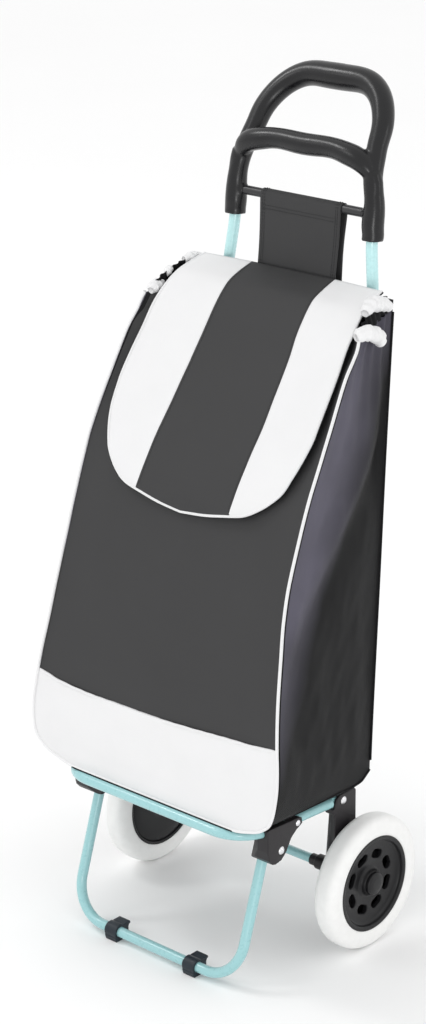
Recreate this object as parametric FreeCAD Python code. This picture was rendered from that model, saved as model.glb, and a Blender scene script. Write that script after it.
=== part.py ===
import FreeCAD, Part
import math
import os

# Two-wheeled folding shopping trolley, millimetres.
# +Z up, +X to the viewer's right when facing the bag, the bag's front faces -Y.
# The model is laid out with the axle on y = 0 and moved by Y_SHIFT at the end,
# so that the origin is at the middle of the footprint, on the floor.

# ---------------------------------------------------------------- dimensions
Y_SHIFT = 15.25

# wheels and axle
WHEEL_R = 79.0
TYRE_IN_R = 57.0
WHEEL_X0, WHEEL_X1 = 147.0, 176.0
AXLE_R = 4.0
AXLE_END = 175.6
AXLE_Z = 79.0
AXLE_TUBE_R = 5.5
AXLE_TUBE_END = 83.0

# uprights: round tube, leaning back
UP_R, UP_WALL = 6.5, 1.2
UP_Y100 = 14.5                      # y of the tube's axis at z = 100
UP_SLOPE = math.tan(math.radians(5.5))
UP_X_LOW, UP_X_TOP = 105.0, 97.8
UP_BOTTOM_Z, UP_TOP_Z = 92.0, 832.0

# platform tube (bag rest) and its hinge on the rear brackets
TUBE_R, TUBE_WALL = 6.0, 1.2
PLAT_X = 137.5
PLAT_FRONT = (-182.0, 191.0)        # y, z of the front bar
PLAT_PIVOT = (-18.0, 180.0)
PLAT_CORNER = 42.0

# leg tube (front support) and its hinge on the front brackets
LEG_X = 124.5
LEG_PIVOT = (-129.0, 163.0)
LEG_BAR = (-180.0, 11.0)
LEG_CORNER = 45.0
CLIP_X, CLIP_W = 60.0, 17.0

# catch bar between the uprights, which holds the folded leg
CATCH = (15.0, 143.0)
CATCH_R = 4.5

# bag
CLOTH = 3.0                         # thickness of the padded cloth panels
BAG_Z = [196.5, 200.0, 206.0, 214.0, 226.0, 242.0, 262.0, 283.0, 303.0, 330.0, 360.0, 400.0,
         440.0, 480.0, 520.0, 545.0, 567.0, 590.0, 611.0, 634.0, 656.0, 680.0, 697.0, 712.0]
BAG_W = [146.0, 155.0, 164.0, 171.0, 177.0, 180.5, 181.5, 180.0, 177.5, 174.0, 170.0, 166.0,
         162.0, 160.0, 160.0, 160.0, 160.2, 160.0, 159.3, 158.2, 157.0, 155.6, 154.3, 152.5]
BAG_Y = [-177.0, -178.5, -179.5, -180.0, -180.0, -179.0, -176.5, -173.5, -171.0, -166.5, -160.0, -151.0,
         -141.5, -129.5, -115.0, -105.3, -96.0, -84.0, -72.5, -59.3, -47.0, -32.3, -18.0, -8.5]
# how far the middle of the front panel sinks back between the corners, by height
SINK_Z = [545.0, 567.0, 590.0, 611.0, 634.0, 656.0, 680.0, 697.0, 712.0]
SINK = [0.0, 5.0, 10.0, 16.0, 21.0, 24.5, 28.0, 28.0, 28.0]
BAND_TOP_Z = 303.0
RIM_REAR_Z = 738.0
BACK_OFF = 7.2                      # rear face of the bag in front of the uprights' plane
BACK_W = [(183.0, 153.0), (240.0, 150.5), (440.0, 145.0), (600.0, 140.5), (744.0, 137.6), (800.0, 137.0)]

# handle
ARM_X_LOW, ARM_X_TOP = 97.8, 86.2
HANDLE_BOTTOM_Z = 794.0
TOP_BAR = (143.7, 949.5)
HANDLE_CORNER = 57.0
HANGER = (84.0, 822.0)

V = FreeCAD.Vector
os.makedirs("parts", exist_ok=True)
made = {}


# ------------------------------------------------------------------- helpers
def interp(x, xs, ys):
    if x <= xs[0]:
        return ys[0]
    for a, b, c, d in zip(xs, xs[1:], ys, ys[1:]):
        if x <= b:
            return c + (d - c) * (x - a) / (b - a)
    return ys[-1]


def up_y(z):
    return UP_Y100 + (z - 100.0) * UP_SLOPE


def cyl(p, d, r, h):
    return Part.makeCylinder(r, h, V(*p), V(*d))


def xcyl(y, z, r, x0, x1):
    return Part.makeCylinder(r, x1 - x0, V(x0, y, z), V(1, 0, 0))


def box(x0, x1, y0, y1, z0, z1):
    return Part.makeBox(x1 - x0, y1 - y0, z1 - z0, V(x0, y0, z0))


def yz_plate(pts, x0, x1):
    w = Part.makePolygon([V(x0, y, z) for y, z in pts] + [V(x0, *pts[0])])
    return Part.Face(w).extrude(V(x1 - x0, 0, 0))


def xz_plate(pts, y0, y1):
    w = Part.makePolygon([V(x, y0, z) for x, z in pts] + [V(pts[0][0], y0, pts[0][1])])
    return Part.Face(w).extrude(V(0, y1 - y0, 0))


def xy_plate(pts, z0, z1):
    w = Part.makePolygon([V(x, y, z0) for x, y in pts] + [V(pts[0][0], pts[0][1], z0)])
    return Part.Face(w).extrude(V(0, 0, z1 - z0))


def mirror(s):
    return s.mirror(V(0, 0, 0), V(1, 0, 0))


def fuse(first, *rest):
    for s in rest:
        first = first.fuse(s)
    return first.removeSplitter()


def path(points, radii):
    """Straight runs joined by tangent arcs."""
    pts = [V(*p) for p in points]
    edges, start = [], pts[0]
    for i in range(1, len(pts) - 1):
        a = (pts[i - 1] - pts[i]).normalize()
        b = (pts[i + 1] - pts[i]).normalize()
        r = radii[i - 1]
        half = a.getAngle(b) / 2
        run = r / math.tan(half)
        p0, p1 = pts[i] + a * run, pts[i] + b * run
        mid_dir = (a + b).normalize()
        centre = pts[i] + mid_dir * (r / math.sin(half))
        pm = centre - mid_dir * r
        edges.append(Part.LineSegment(start, p0).toShape())
        edges.append(Part.Arc(p0, pm, p1).toShape())
        start = p1
    edges.append(Part.LineSegment(start, pts[-1]).toShape())
    return Part.Wire(edges)


def sweep(wire, r):
    e = wire.Edges[0]
    p = e.valueAt(e.FirstParameter)
    d = e.tangentAt(e.FirstParameter)
    ring = Part.Wire([Part.makeCircle(r, p, d)])
    return wire.makePipeShell([ring], True, False)


def tube(points, radii, r, wall):
    w = path(points, radii)
    return sweep(w, r).cut(sweep(w, r - wall))


def quad(pts):
    return Part.makePolygon([V(*p) for p in pts] + [V(*pts[0])])


def loft(wires, ruled=True):
    return Part.makeLoft(wires, True, ruled)


def save(name, shape):
    s = shape.copy()
    s.translate(V(0, Y_SHIFT, 0))
    if not s.isValid():
        s.fix(1e-4, 1e-4, 1e-3)
    made[name] = s
    s.exportStep("parts/%s.step" % name)
    b = s.BoundBox
    print("%-22s solids %d valid %s vol %9.0f  x %7.1f %7.1f  y %7.1f %7.1f  z %7.1f %7.1f" % (
        name, len(s.Solids), s.isValid(), s.Volume, b.XMin, b.XMax, b.YMin, b.YMax, b.ZMin, b.ZMax))


# ------------------------------------------------------------------- uprights
up_pts = [
    (UP_X_LOW, up_y(UP_BOTTOM_Z), UP_BOTTOM_Z),
    (UP_X_LOW, up_y(728.0), 728.0),
    (UP_X_TOP, up_y(788.0), 788.0),
    (UP_X_TOP, up_y(UP_TOP_Z), UP_TOP_Z),
]
upright = tube(up_pts, [150.0, 150.0], UP_R, UP_WALL)
# pilot hole for the handle's screw, from behind
SCREW_Z = 806.0
screw_dir = (0, -math.cos(math.radians(5.5)), math.sin(math.radians(5.5)))


def screw_at(z, r, back, length):
    y = up_y(z)
    n = V(0, math.cos(math.radians(5.5)), -math.sin(math.radians(5.5)))
    p = V(UP_X_TOP, y, z) + n * back
    return Part.makeCylinder(r, length, p, V(*screw_dir))


upright = upright.cut(screw_at(SCREW_Z, 1.75, 20, 18))
save("upright_right", upright)
save("upright_left", mirror(upright))

# --------------------------------------------------------------------- handle
BEND_Z, BEND_POW = 857.0, 1.3
BEND = TOP_BAR[0] - up_y(TOP_BAR[1])


def handle_y(z):
    t = max(0.0, (z - BEND_Z) / (TOP_BAR[1] - BEND_Z))
    return up_y(z) + BEND * t ** BEND_POW


z_corner = TOP_BAR[1] - HANDLE_CORNER
stations = []
for i, z in enumerate([HANDLE_BOTTOM_Z, 806.0, 822.0, 838.0, 854.0, 868.0, 881.0]):
    x = ARM_X_LOW + (ARM_X_TOP - ARM_X_LOW) * max(0.0, (z - 835.0)) / (z_corner - 835.0)
    stations.append((x, z, [12.0, 12.2, 12.0, 11.0, 10.6, 10.8, 11.2][i]))
for k in range(7):
    a = math.radians(k * 15.0)
    stations.append((ARM_X_TOP - HANDLE_CORNER + HANDLE_CORNER * math.cos(a),
                     z_corner + HANDLE_CORNER * math.sin(a), 11.4 + 2.9 * k / 6.0))
stations.append((15.0, TOP_BAR[1], 14.6))
right = [V(x, handle_y(z), z) for x, z, _ in stations]
radii = [s[2] for s in stations]
centre = right + [V(0, handle_y(TOP_BAR[1]), TOP_BAR[1])] + [V(-p.x, p.y, p.z) for p in reversed(right)]
radii = radii + [14.8] + list(reversed(radii))


def fat_tube(points, radii):
    """Round bar of changing thickness; every ring starts at its rearmost point."""
    rings = []
    for i, p in enumerate(points):
        a = points[max(0, i - 1)]
        b = points[min(len(points) - 1, i + 1)]
        d = (b - a).normalize()
        back = V(0, 1, 0)
        back = (back - d * back.dot(d)).normalize()
        side = d.cross(back).normalize()
        ring = [p + back * (radii[i] * math.cos(t)) + side * (radii[i] * math.sin(t))
                for t in [2 * math.pi * k / 16 for k in range(16)]]
        c = Part.BSplineCurve()
        c.interpolate(Points=ring, PeriodicFlag=True)
        rings.append(Part.Wire([c.toShape()]))
    return Part.makeLoft(rings, True, False)


grip = fat_tube(centre, radii)
mid_pts, mid_r = [], []
for x, y, z, r in [(96.0, 88.5, 853.0, 7.0), (91.0, 86.5, 865.0, 9.0), (83.0, 84.5, 875.0, 11.5), (68.0, 84.5, 881.5, 12.6),
                   (52.0, 85.2, 884.5, 12.0), (34.0, 86.0, 886.0, 11.6), (17.0, 85.8, 885.5, 12.0)]:
    mid_pts.append(V(x, y, z))
    mid_r.append(r)
mid_pts = mid_pts + [V(0, 85.6, 885.0)] + [V(-p.x, p.y, p.z) for p in reversed(mid_pts)]
mid_r = mid_r + [12.2] + list(reversed(mid_r))
grip = grip.fuse(fat_tube(mid_pts, mid_r))
# sockets for the uprights, for the hanger bar and for the screws
for sgn in (1, -1):
    sock = cyl((sgn * UP_X_TOP, up_y(780.0), 780.0),
               (0, math.sin(math.radians(5.5)), math.cos(math.radians(5.5))), UP_R + 0.02,
               (UP_TOP_Z - 780.0) / math.cos(math.radians(5.5)) + 0.6)
    grip = grip.cut(sock)
    s = screw_at(SCREW_Z, 1.75, 20, 18)
    head = screw_at(SCREW_Z, 4.0, 14.5, 4.0)
    if sgn < 0:
        s, head = mirror(s), mirror(head)
    grip = grip.cut(s).cut(head)
grip = grip.cut(xcyl(HANGER[0], HANGER[1], 5.27, -90.0, 90.0))
save("handle_grip", grip)

screw = screw_at(SCREW_Z, 1.7, 14.0, 12.0).fuse(screw_at(SCREW_Z, 3.6, 14.2, 2.6))
save("handle_screws", Part.Compound([screw, mirror(screw)]))

save("hanger_bar", xcyl(HANGER[0], HANGER[1], 5.25, -89.5, 89.5))

# --------------------------------------------------------------- hanging loop
n_back = V(0, math.cos(math.radians(5.5)), -math.sin(math.radians(5.5)))
n_up = V(0, math.sin(math.radians(5.5)), math.cos(math.radians(5.5)))
hang = V(0, HANGER[0], HANGER[1])


def loop_band(ro, low, x):
    """Solid outline of the loop: round over the bar and straight down to `low` below it."""
    c = hang + V(x, 0, 0)
    a, b = c - n_back * ro, c + n_back * ro
    top = c + n_up * ro
    e = [Part.Arc(a, top, b).toShape(),
         Part.LineSegment(b, b - n_up * low).toShape(),
         Part.LineSegment(b - n_up * low, a - n_up * low).toShape(),
         Part.LineSegment(a - n_up * low, a).toShape()]
    return Part.Face(Part.Wire(e))


LOOP_HALF = 57.0
loop = loop_band(6.75, 84.0, -LOOP_HALF).extrude(V(2 * LOOP_HALF, 0, 0))
loop = loop.cut(loop_band(5.35, 82.6, -LOOP_HALF - 1).extrude(V(2 * LOOP_HALF + 2, 0, 0)))
save("hanging_loop", loop)

# ------------------------------------------------------- rear brackets, axle
plate = yz_plate([(-33, 112), (-33, 172), (-32.4, 178), (-29.6, 185), (-24, 188.6), (1.5, 188.6), (4, 186),
                  (4, 150), (9, 128), (14.5, 96), (13.5, 74), (6, 65.5), (-6, 65.5), (-13, 72), (-16, 90)],
                 140.3, 143.8)
web = xy_plate([(104, 6.5), (141, -1.5), (141, 3.4), (112, 13.5)], 70, 150)
lug = box(131.5, 143.8, -36.0, -32.8, 168.0, 174.5)
column = cyl((UP_X_LOW, up_y(74.0), 74.0), (0, math.sin(math.radians(5.5)), math.cos(math.radians(5.5))), 9.5, 80.0)
rib = yz_plate([(-14, 70), (14, 70), (14, 96), (-10, 96)], 111.0, 114.0)
boss = xcyl(0, AXLE_Z, 9.0, 92.0, 143.8)
rear_bracket = fuse(plate, web, lug, column, boss, rib)
rear_bracket = rear_bracket.cut(
    cyl((UP_X_LOW, up_y(UP_BOTTOM_Z), UP_BOTTOM_Z),
        (0, math.sin(math.radians(5.5)), math.cos(math.radians(5.5))), UP_R + 0.02, 120.0))
rear_bracket = rear_bracket.cut(xcyl(0, AXLE_Z, AXLE_R + 0.02, 60.0, 150.0))
rear_bracket = rear_bracket.cut(xcyl(PLAT_PIVOT[0], PLAT_PIVOT[1], 2.52, 120.0, 150.0))
rear_bracket = rear_bracket.cut(xcyl(CATCH[0], CATCH[1], CATCH_R + 0.02, 60.0, 98.6))
save("rear_bracket_right", rear_bracket)
save("rear_bracket_left", mirror(rear_bracket))

save("axle_rod", xcyl(0, AXLE_Z, AXLE_R, -AXLE_END, AXLE_END))
save("axle_tube", xcyl(0, AXLE_Z, AXLE_TUBE_R, -AXLE_TUBE_END, AXLE_TUBE_END).cut(
    xcyl(0, AXLE_Z, AXLE_R + 0.1, -AXLE_TUBE_END, AXLE_TUBE_END)))
sleeve = xcyl(0, AXLE_Z, 6.8, AXLE_TUBE_END + 0.2, 91.8).cut(xcyl(0, AXLE_Z, AXLE_R + 0.02, 80.0, 100.0))
washer = xcyl(0, AXLE_Z, 8.0, 144.2, 146.4).cut(xcyl(0, AXLE_Z, AXLE_R + 0.02, 140.0, 150.0))
save("axle_sleeves", Part.Compound([sleeve, mirror(sleeve)]))
save("axle_washers", Part.Compound([washer, mirror(washer)]))
nut = xcyl(0, AXLE_Z, 8.5, 172.6, 174.0).fuse(xcyl(0, AXLE_Z, 6.2, 174.0, 175.4)).cut(
    xcyl(0, AXLE_Z, AXLE_R + 0.02, 170.0, 180.0))
save("axle_push_nuts", Part.Compound([nut, mirror(nut)]))

save("catch_bar", xcyl(CATCH[0], CATCH[1], CATCH_R, -98.4, 98.4).cut(
    xcyl(CATCH[0], CATCH[1], CATCH_R - 1.0, -98.4, 98.4)))

# --------------------------------------------------------------------- wheels
HUB_R = TYRE_IN_R


def revolve_x(pts, x_is_first=True):
    """Turn a profile of (x, radius) points about the axle."""
    w = Part.makePolygon([V(x, 0, AXLE_Z + r) for x, r in pts] + [V(pts[0][0], 0, AXLE_Z + pts[0][1])])
    return Part.Face(w).revolve(V(0, 0, AXLE_Z), V(1, 0, 0), 360)


def tyre_profile():
    xm, hw = (WHEEL_X0 + WHEEL_X1) / 2, (WHEEL_X1 - WHEEL_X0) / 2
    pts = [(xm - hw + 1.5, HUB_R), (xm - hw + 0.4, HUB_R + 2.5)]
    for k in range(0, 13):
        a = math.pi - math.pi * k / 12
        c, s = math.cos(a), math.sin(a)
        pts.append((xm + hw * math.copysign(abs(c) ** 0.62, c), 64.5 + (WHEEL_R - 64.5) * s ** 0.78))
    pts += [(xm + hw - 0.4, HUB_R + 2.5), (xm + hw - 1.5, HUB_R)]
    return pts


tyre = revolve_x(tyre_profile())
save("tyre_right", tyre)
save("tyre_left", mirror(tyre))

hub = revolve_x([
    (148.6, HUB_R - 0.02), (174.4, HUB_R - 0.02), (174.9, 55.5), (174.2, 51.5), (170.2, 50.5), (168.6, 47.5), (166.0, 19.0), (167.5, 15.5),
    (172.2, 14.0), (172.2, 4.08), (146.9, 4.08), (146.9, 12.5), (160.0, 14.5), (162.0, 47.0), (160.0, 52.0), (148.6, 53.5)])
for k in range(8):
    a = math.radians(k * 45.0 + 22.5)
    e = Part.Ellipse(V(150, 0, 0), 1, 1)
    c = V(0, 33.0 * math.cos(a), AXLE_Z + 33.0 * math.sin(a))
    rad = V(0, math.cos(a), math.sin(a))
    tan = V(0, -math.sin(a), math.cos(a))
    # oval hole: long way round the hub
    p1, p2 = c + tan * 3.6, c - tan * 3.6
    cut = Part.makeCylinder(5.4, 40, V(140, p1.y, p1.z), V(1, 0, 0)).fuse(
        Part.makeCylinder(5.4, 40, V(140, p2.y, p2.z), V(1, 0, 0)))
    corners = [p1 + rad * 5.4, p2 + rad * 5.4, p2 - rad * 5.4, p1 - rad * 5.4]
    w = Part.makePolygon([V(140, q.y, q.z) for q in corners] + [V(140, corners[0].y, corners[0].z)])
    cut = cut.fuse(Part.Face(w).extrude(V(40, 0, 0)))
    hub = hub.cut(cut)
save("hub_right", hub)
save("hub_left", mirror(hub))

cap = revolve_x([(172.3, 13.8), (175.8, 13.6), (177.6, 11.5), (178.4, 7.0), (178.6, 0.0), (176.6, 0.0), (176.2, 9.0),
                 (174.6, 11.6), (172.3, 11.8)])
save("hub_cap_right", cap)
save("hub_cap_left", mirror(cap))

# ------------------------------------------------------------- platform tube
slope = (PLAT_FRONT[1] - PLAT_PIVOT[1]) / (PLAT_PIVOT[0] - PLAT_FRONT[0])


def plat_z(y):
    return PLAT_PIVOT[1] + slope * (PLAT_PIVOT[0] - y)


ROUND_END = -35.0
pf = [(PLAT_X, ROUND_END, plat_z(ROUND_END)), (PLAT_X, PLAT_FRONT[0], PLAT_FRONT[1]),
      (-PLAT_X, PLAT_FRONT[0], PLAT_FRONT[1]), (-PLAT_X, ROUND_END, plat_z(ROUND_END))]
platform_tube = tube(pf, [PLAT_CORNER, PLAT_CORNER], TUBE_R, TUBE_WALL)
d_run = V(0, PLAT_PIVOT[0] - ROUND_END, PLAT_PIVOT[1] - plat_z(ROUND_END))
run_len = d_run.Length
d_run.normalize()
d_perp = V(0, -d_run.z, d_run.y)


def flat_end():
    """Tube end pressed flat, with a round eye for the pivot rivet."""
    start = V(136.5, ROUND_END, plat_z(ROUND_END))
    x0, x1 = 133.6, 139.4
    c = [start - d_perp * 5.6, start + d_perp * 5.6, start + d_perp * 5.6 + d_run * run_len,
         start - d_perp * 5.6 + d_run * run_len]
    w = Part.makePolygon([V(x0, q.y, q.z) for q in c] + [V(x0, c[0].y, c[0].z)])
    flat = Part.Face(w).extrude(V(x1 - x0, 0, 0))
    eye = xcyl(PLAT_PIVOT[0], PLAT_PIVOT[1], 7.2, x0, x1)
    # transition from round to flat
    r0 = Part.Wire([Part.makeCircle(TUBE_R, V(PLAT_X, ROUND_END, plat_z(ROUND_END)), d_run)])
    plug = cyl((PLAT_X, ROUND_END, plat_z(ROUND_END)), (-d_run.x, -d_run.y, -d_run.z), TUBE_R - TUBE_WALL + 0.4, 4.0)
    return flat.fuse(eye).fuse(plug).cut(xcyl(PLAT_PIVOT[0], PLAT_PIVOT[1], 2.55, 120, 150))


fe = flat_end()
platform_tube = platform_tube.fuse(fe).fuse(mirror(fe)).removeSplitter()

# front bracket: clamps on the platform tube and holds the leg's top
LU = V(0, LEG_BAR[0] - LEG_PIVOT[0], LEG_BAR[1] - LEG_PIVOT[1]).normalize()
LN = V(0, LU.z, -LU.y)          # forward normal of the leg
outline = [(-138.5, 149.5), (-143.5, 150.8), (-149.0, 157.0), (-151.5, 168.0), (-151.5, 193.0), (-149.0, 197.0),
           (-104.0, 193.5), (-94.5, 190.0), (-93.5, 183.0), (-103.0, 178.5), (-112.0, 172.0), (-121.0, 157.5), (-129.0, 151.0)]
outer = yz_plate(outline, 131.3, 147.5)
pocket = yz_plate([(-140.5, 155.5), (-145.0, 159.5), (-147.0, 169.0), (-146.5, 180.5), (-112.0, 178.0), (-125.5, 158.5)], 134.6, 143.8)
web_pts = [(-139.8, 151.9), (-143.5, 150.8), (-149.0, 157.0), (-151.5, 168.0), (-151.5, 181.5), (-136.5, 178.0), (-134.1, 168.9)]
front_web = yz_plate(web_pts, 114.2, 131.6)
inner_pts = [(-138.5, 149.5), (-143.5, 150.8), (-149.0, 157.0), (-151.5, 168.0), (-151.5, 178.0), (-136.5, 178.0), (-118.5, 172.5), (-118.0, 160.0), (-129.0, 151.0)]
inner_plate = yz_plate(inner_pts, 114.2, 117.8)
front_bracket = fuse(outer.cut(pocket), front_web, inner_plate)
# the web's inner front corner is bevelled, parallel to the leg
bevel = Part.Face(Part.makePolygon([V(x, y + 19.11, 220.0) for x, y in [(131.3, -152.5), (114.0, -137.0), (100.0, -124.4), (100.0, -200.0), (131.3, -200.0), (131.3, -152.5)]]))
front_bracket = front_bracket.cut(bevel.extrude(V(0, LU.y, LU.z) * 100.0))
front_bracket = front_bracket.cut(sweep(path(pf, [PLAT_CORNER, PLAT_CORNER]), TUBE_R + 0.02))
top_cut = yz_plate([(-175, plat_z(-175) + 6.1), (-85, plat_z(-85) + 6.1), (-85, 230), (-175, 230)], 100, 160)
front_bracket = front_bracket.cut(top_cut)
front_bracket = front_bracket.cut(xcyl(LEG_PIVOT[0], LEG_PIVOT[1], 2.52, 100, 160))
PIN = (-101.0, plat_z(-101.0))
front_bracket = front_bracket.cut(xcyl(PIN[0], PIN[1], 2.02, 100, 160))
platform_tube = platform_tube.cut(xcyl(PIN[0], PIN[1], 2.02, 125, 150)).cut(mirror(xcyl(PIN[0], PIN[1], 2.02, 125, 150)))
save("platform_tube", platform_tube)
front_bracket = max(front_bracket.Solids, key=lambda s: s.Volume)
save("front_bracket_right", front_bracket)
save("front_bracket_left", mirror(front_bracket))


def rivet(y, z, r, x0, x1, hr, hh):
    """Domed rivet: shank from x0 to x1 with a head outside each end."""
    s = xcyl(y, z, r, x0 - 0.3, x1 + 0.3)
    head = Part.makeSphere(hr * 1.25, V(0, 0, 0), V(1, 0, 0))
    dome = head.common(Part.makeBox(20, 40, 40, V(hr * 1.25 - hh, -20, -20)))
    out = dome.copy()
    out.translate(V(x1 - (hr * 1.25 - hh), y, z))
    back = mirror(dome)
    back.translate(V(x0 + (hr * 1.25 - hh), y, z))
    return s.fuse(out).fuse(back).removeSplitter()


rv = rivet(PLAT_PIVOT[0], PLAT_PIVOT[1], 2.5, 133.5, 143.85, 5.2, 2.0)
save("platform_rivets", Part.Compound([rv, mirror(rv)]))
rv = rivet(LEG_PIVOT[0], LEG_PIVOT[1], 2.5, 114.1, 147.6, 4.6, 2.4)
save("leg_rivets", Part.Compound([rv, mirror(rv)]))
rv = rivet(PIN[0], PIN[1], 2.0, 131.2, 147.6, 3.6, 1.8)
save("bracket_rivets", Part.Compound([rv, mirror(rv)]))

# ------------------------------------------------------------------- leg tube
lp = [(LEG_X, LEG_PIVOT[0], LEG_PIVOT[1]), (LEG_X, LEG_BAR[0], LEG_BAR[1]),
      (-LEG_X, LEG_BAR[0], LEG_BAR[1]), (-LEG_X, LEG_PIVOT[0], LEG_PIVOT[1])]
leg_solid = sweep(path(lp, [LEG_CORNER, LEG_CORNER]), TUBE_R)
leg_hole = sweep(path(lp, [LEG_CORNER, LEG_CORNER]), TUBE_R - TUBE_WALL)
eye = xcyl(LEG_PIVOT[0], LEG_PIVOT[1], TUBE_R + 0.4, LEG_X - TUBE_R + 0.1, LEG_X + TUBE_R - 0.1)
leg = leg_solid.cut(leg_hole)
for e in (eye, mirror(eye)):
    leg = leg.fuse(e)
for b in (xcyl(LEG_PIVOT[0], LEG_PIVOT[1], 2.56, 110, 140), mirror(xcyl(LEG_PIVOT[0], LEG_PIVOT[1], 2.56, 110, 140))):
    leg = leg.cut(b)
leg = leg.removeSplitter()
save("leg_tube", leg)

# clip on the leg's bottom bar: foot pad below, hook for the catch bar behind
y0, z0 = LEG_BAR
hk = (y0 + 19.1 * math.cos(math.radians(-3.1)), z0 + 19.1 * math.sin(math.radians(-3.1)))
x0, x1 = CLIP_X - CLIP_W / 2, CLIP_X + CLIP_W / 2
ring = xcyl(y0, z0, 9.0, x0, x1)
foot = yz_plate([(y0 - 7.0, 0.0), (y0 + 7.0, 0.0), (y0 + 8.6, 6.0), (y0 - 8.6, 6.0)], x0, x1)
hook = yz_plate([(y0 + 4, 18.4), (hk[0] - 2.5, 19.0), (hk[0] - 2.2, 16.4), (hk[0] - 4.2, 15.4),
                 (hk[0] - 5.6, 13.0), (hk[0] - 5.6, 7.0), (hk[0] - 4.2, 4.4), (hk[0] - 2.2, 3.4), (hk[0] - 2.6, 0.9),
                 (y0 + 4, 1.6)], x0, x1)
clip = fuse(ring, foot, hook).cut(xcyl(y0, z0, TUBE_R + 0.02, 20, 100))
save("leg_clip_right", clip)
save("leg_clip_left", mirror(clip))

# ------------------------------------------------------------------------ bag
Z0, Z1 = BAG_Z[0], BAG_Z[-1]


def rear_z(zf):
    return 180.0 + (RIM_REAR_Z - 180.0) * (zf - Z0) / (Z1 - Z0)


def level(zf, grow=0.0):
    """Front corner and rear corner (x, y, z) of the bag's section that meets the front at zf."""
    wf, yf = interp(zf, BAG_Z, BAG_W), interp(zf, BAG_Z, BAG_Y)
    zr = rear_z(zf)
    wr = interp(zr, [p[0] for p in BACK_W], [p[1] for p in BACK_W])
    yr = up_y(zr) - BACK_OFF
    return (wf, yf, zf), (wr, yr, zr)


def along(f, r, y):
    """z on the straight line from front corner f to rear corner r, at y."""
    return f[2] + (r[2] - f[2]) * (y - f[1]) / (r[1] - f[1])


def front_face(x, zf):
    """y of the front panel's outer face."""
    u = min(1.0, abs(x) / (interp(zf, BAG_Z, BAG_W) - 4.0))
    sink = interp(zf, SINK_Z, SINK) if zf > SINK_Z[0] else 0.0
    return interp(zf, BAG_Z, BAG_Y) + sink * (1.0 - u ** 6)


def front_ring(zf, half, back, thick):
    """Level strip that follows the front panel, `back` behind its outer face."""
    side = [half, min(half, interp(zf, BAG_Z, BAG_W) - 4.0) - 0.01] + [half * u for u in (0.93, 0.87, 0.79, 0.68, 0.5, 0.25)]
    xs = [-x for x in side] + [0.0] + side[::-1]
    a = [(x, front_face(x, zf) + back, zf) for x in xs]
    b = [(x, front_face(x, zf) + back + thick, zf) for x in reversed(xs)]
    return quad(a + b)


def front_quad(zf):
    w, y = interp(zf, BAG_Z, BAG_W), interp(zf, BAG_Z, BAG_Y)
    return quad([(-w, y, zf), (w, y, zf), (w, y + CLOTH, zf), (-w, y + CLOTH, zf)])


def panel_ring(zf):
    return front_ring(zf, interp(zf, BAG_Z, BAG_W), 0.0, CLOTH)


def rear_quad(zf):
    f, r = level(zf)
    a, b = r[1] - CLOTH, r[1]
    return quad([(-r[0], a, along(f, r, a)), (r[0], a, along(f, r, a)), (r[0], b, r[2]), (-r[0], b, r[2])])


def side_quad(zf):
    f, r = level(zf)
    a, b = f[1] + CLOTH + (2.2 if zf > 560.0 else 0.3), r[1] - CLOTH
    za, zb = along(f, r, a), along(f, r, b)
    return quad([(f[0], a, za), (r[0], b, zb), (r[0] - CLOTH, b, zb), (f[0] - CLOTH, a, za)])


def inner_quad(zf):
    f, r = level(zf)
    a, b = f[1] + CLOTH + 0.8, r[1] - CLOTH
    za, zb = along(f, r, a), along(f, r, b)
    wa, wb = f[0] - CLOTH - 0.3, r[0] - CLOTH - 0.3
    return quad([(-wa, a, za), (wa, a, za), (wb, b, zb), (-wb, b, zb)])


# underside: lies on the platform tube, then curves up behind to the back panel
BASE = [(-190.0, plat_z(-190.0) + 6.9), (-45.0, plat_z(-45.0) + 6.9), (-22.0, 190.2), (0.0, 193.6), (11.0, 199.5), (40.0, 216.0)]
below = yz_plate(BASE + [(40.0, 150.0), (-190.0, 150.0)], -200.0, 200.0)
band_levels = [z for z in BAG_Z if z <= BAND_TOP_Z]
panel_levels = [z for z in BAG_Z if z >= BAND_TOP_Z]


def biggest(s):
    return max(s.Solids, key=lambda q: q.Volume)


save("bag_front_band", biggest(loft([front_quad(z) for z in band_levels]).cut(below)))
save("bag_front_panel", loft([panel_ring(z) for z in panel_levels]))
save("bag_back_panel", biggest(loft([rear_quad(z) for z in BAG_Z]).cut(below)))
side = biggest(loft([side_quad(z) for z in BAG_Z]).cut(below))
save("bag_side_right", side)
save("bag_side_left", mirror(side))
BASE_T = 2.2
band = yz_plate(BASE + [(y, z + BASE_T) for y, z in reversed(BASE)], -190.0, 190.0)
save("bag_base", biggest(band.common(loft([inner_quad(z) for z in BAG_Z[:12]]))))

pq = []
for z in BAG_Z[3:]:
    f, r = level(z)
    a = f[0] + 0.15
    pq.append(quad([(a, f[1], z), (a + 3.0, f[1], z), (a + 3.0, f[1] + 3.0, z + 0.01), (a, f[1] + 3.0, z + 0.01)]))
piping = loft(pq)
save("piping_right", piping)
save("piping_left", mirror(piping))

# stiff board in the bottom of the bag
board = yz_plate([(-171.0, plat_z(-171.0) + 6.9 + BASE_T + 0.5), (-46.0, plat_z(-46.0) + 6.9 + BASE_T + 0.5),
                  (-46.0, plat_z(-46.0) + 6.9 + BASE_T + 3.5), (-171.0, plat_z(-171.0) + 6.9 + BASE_T + 3.5)], -112.0, 112.0)
save("base_board", board)

# gathered collar on the rim: a strip along each side of the mouth, joined at the corners
fr, rr = level(Z1)
COLLAR_T = 2.5
front_strip = loft([front_ring(712.4, 146.0, CLOTH + 0.5, COLLAR_T), front_ring(716.0, 146.0, CLOTH + 4.0, COLLAR_T)])


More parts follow.
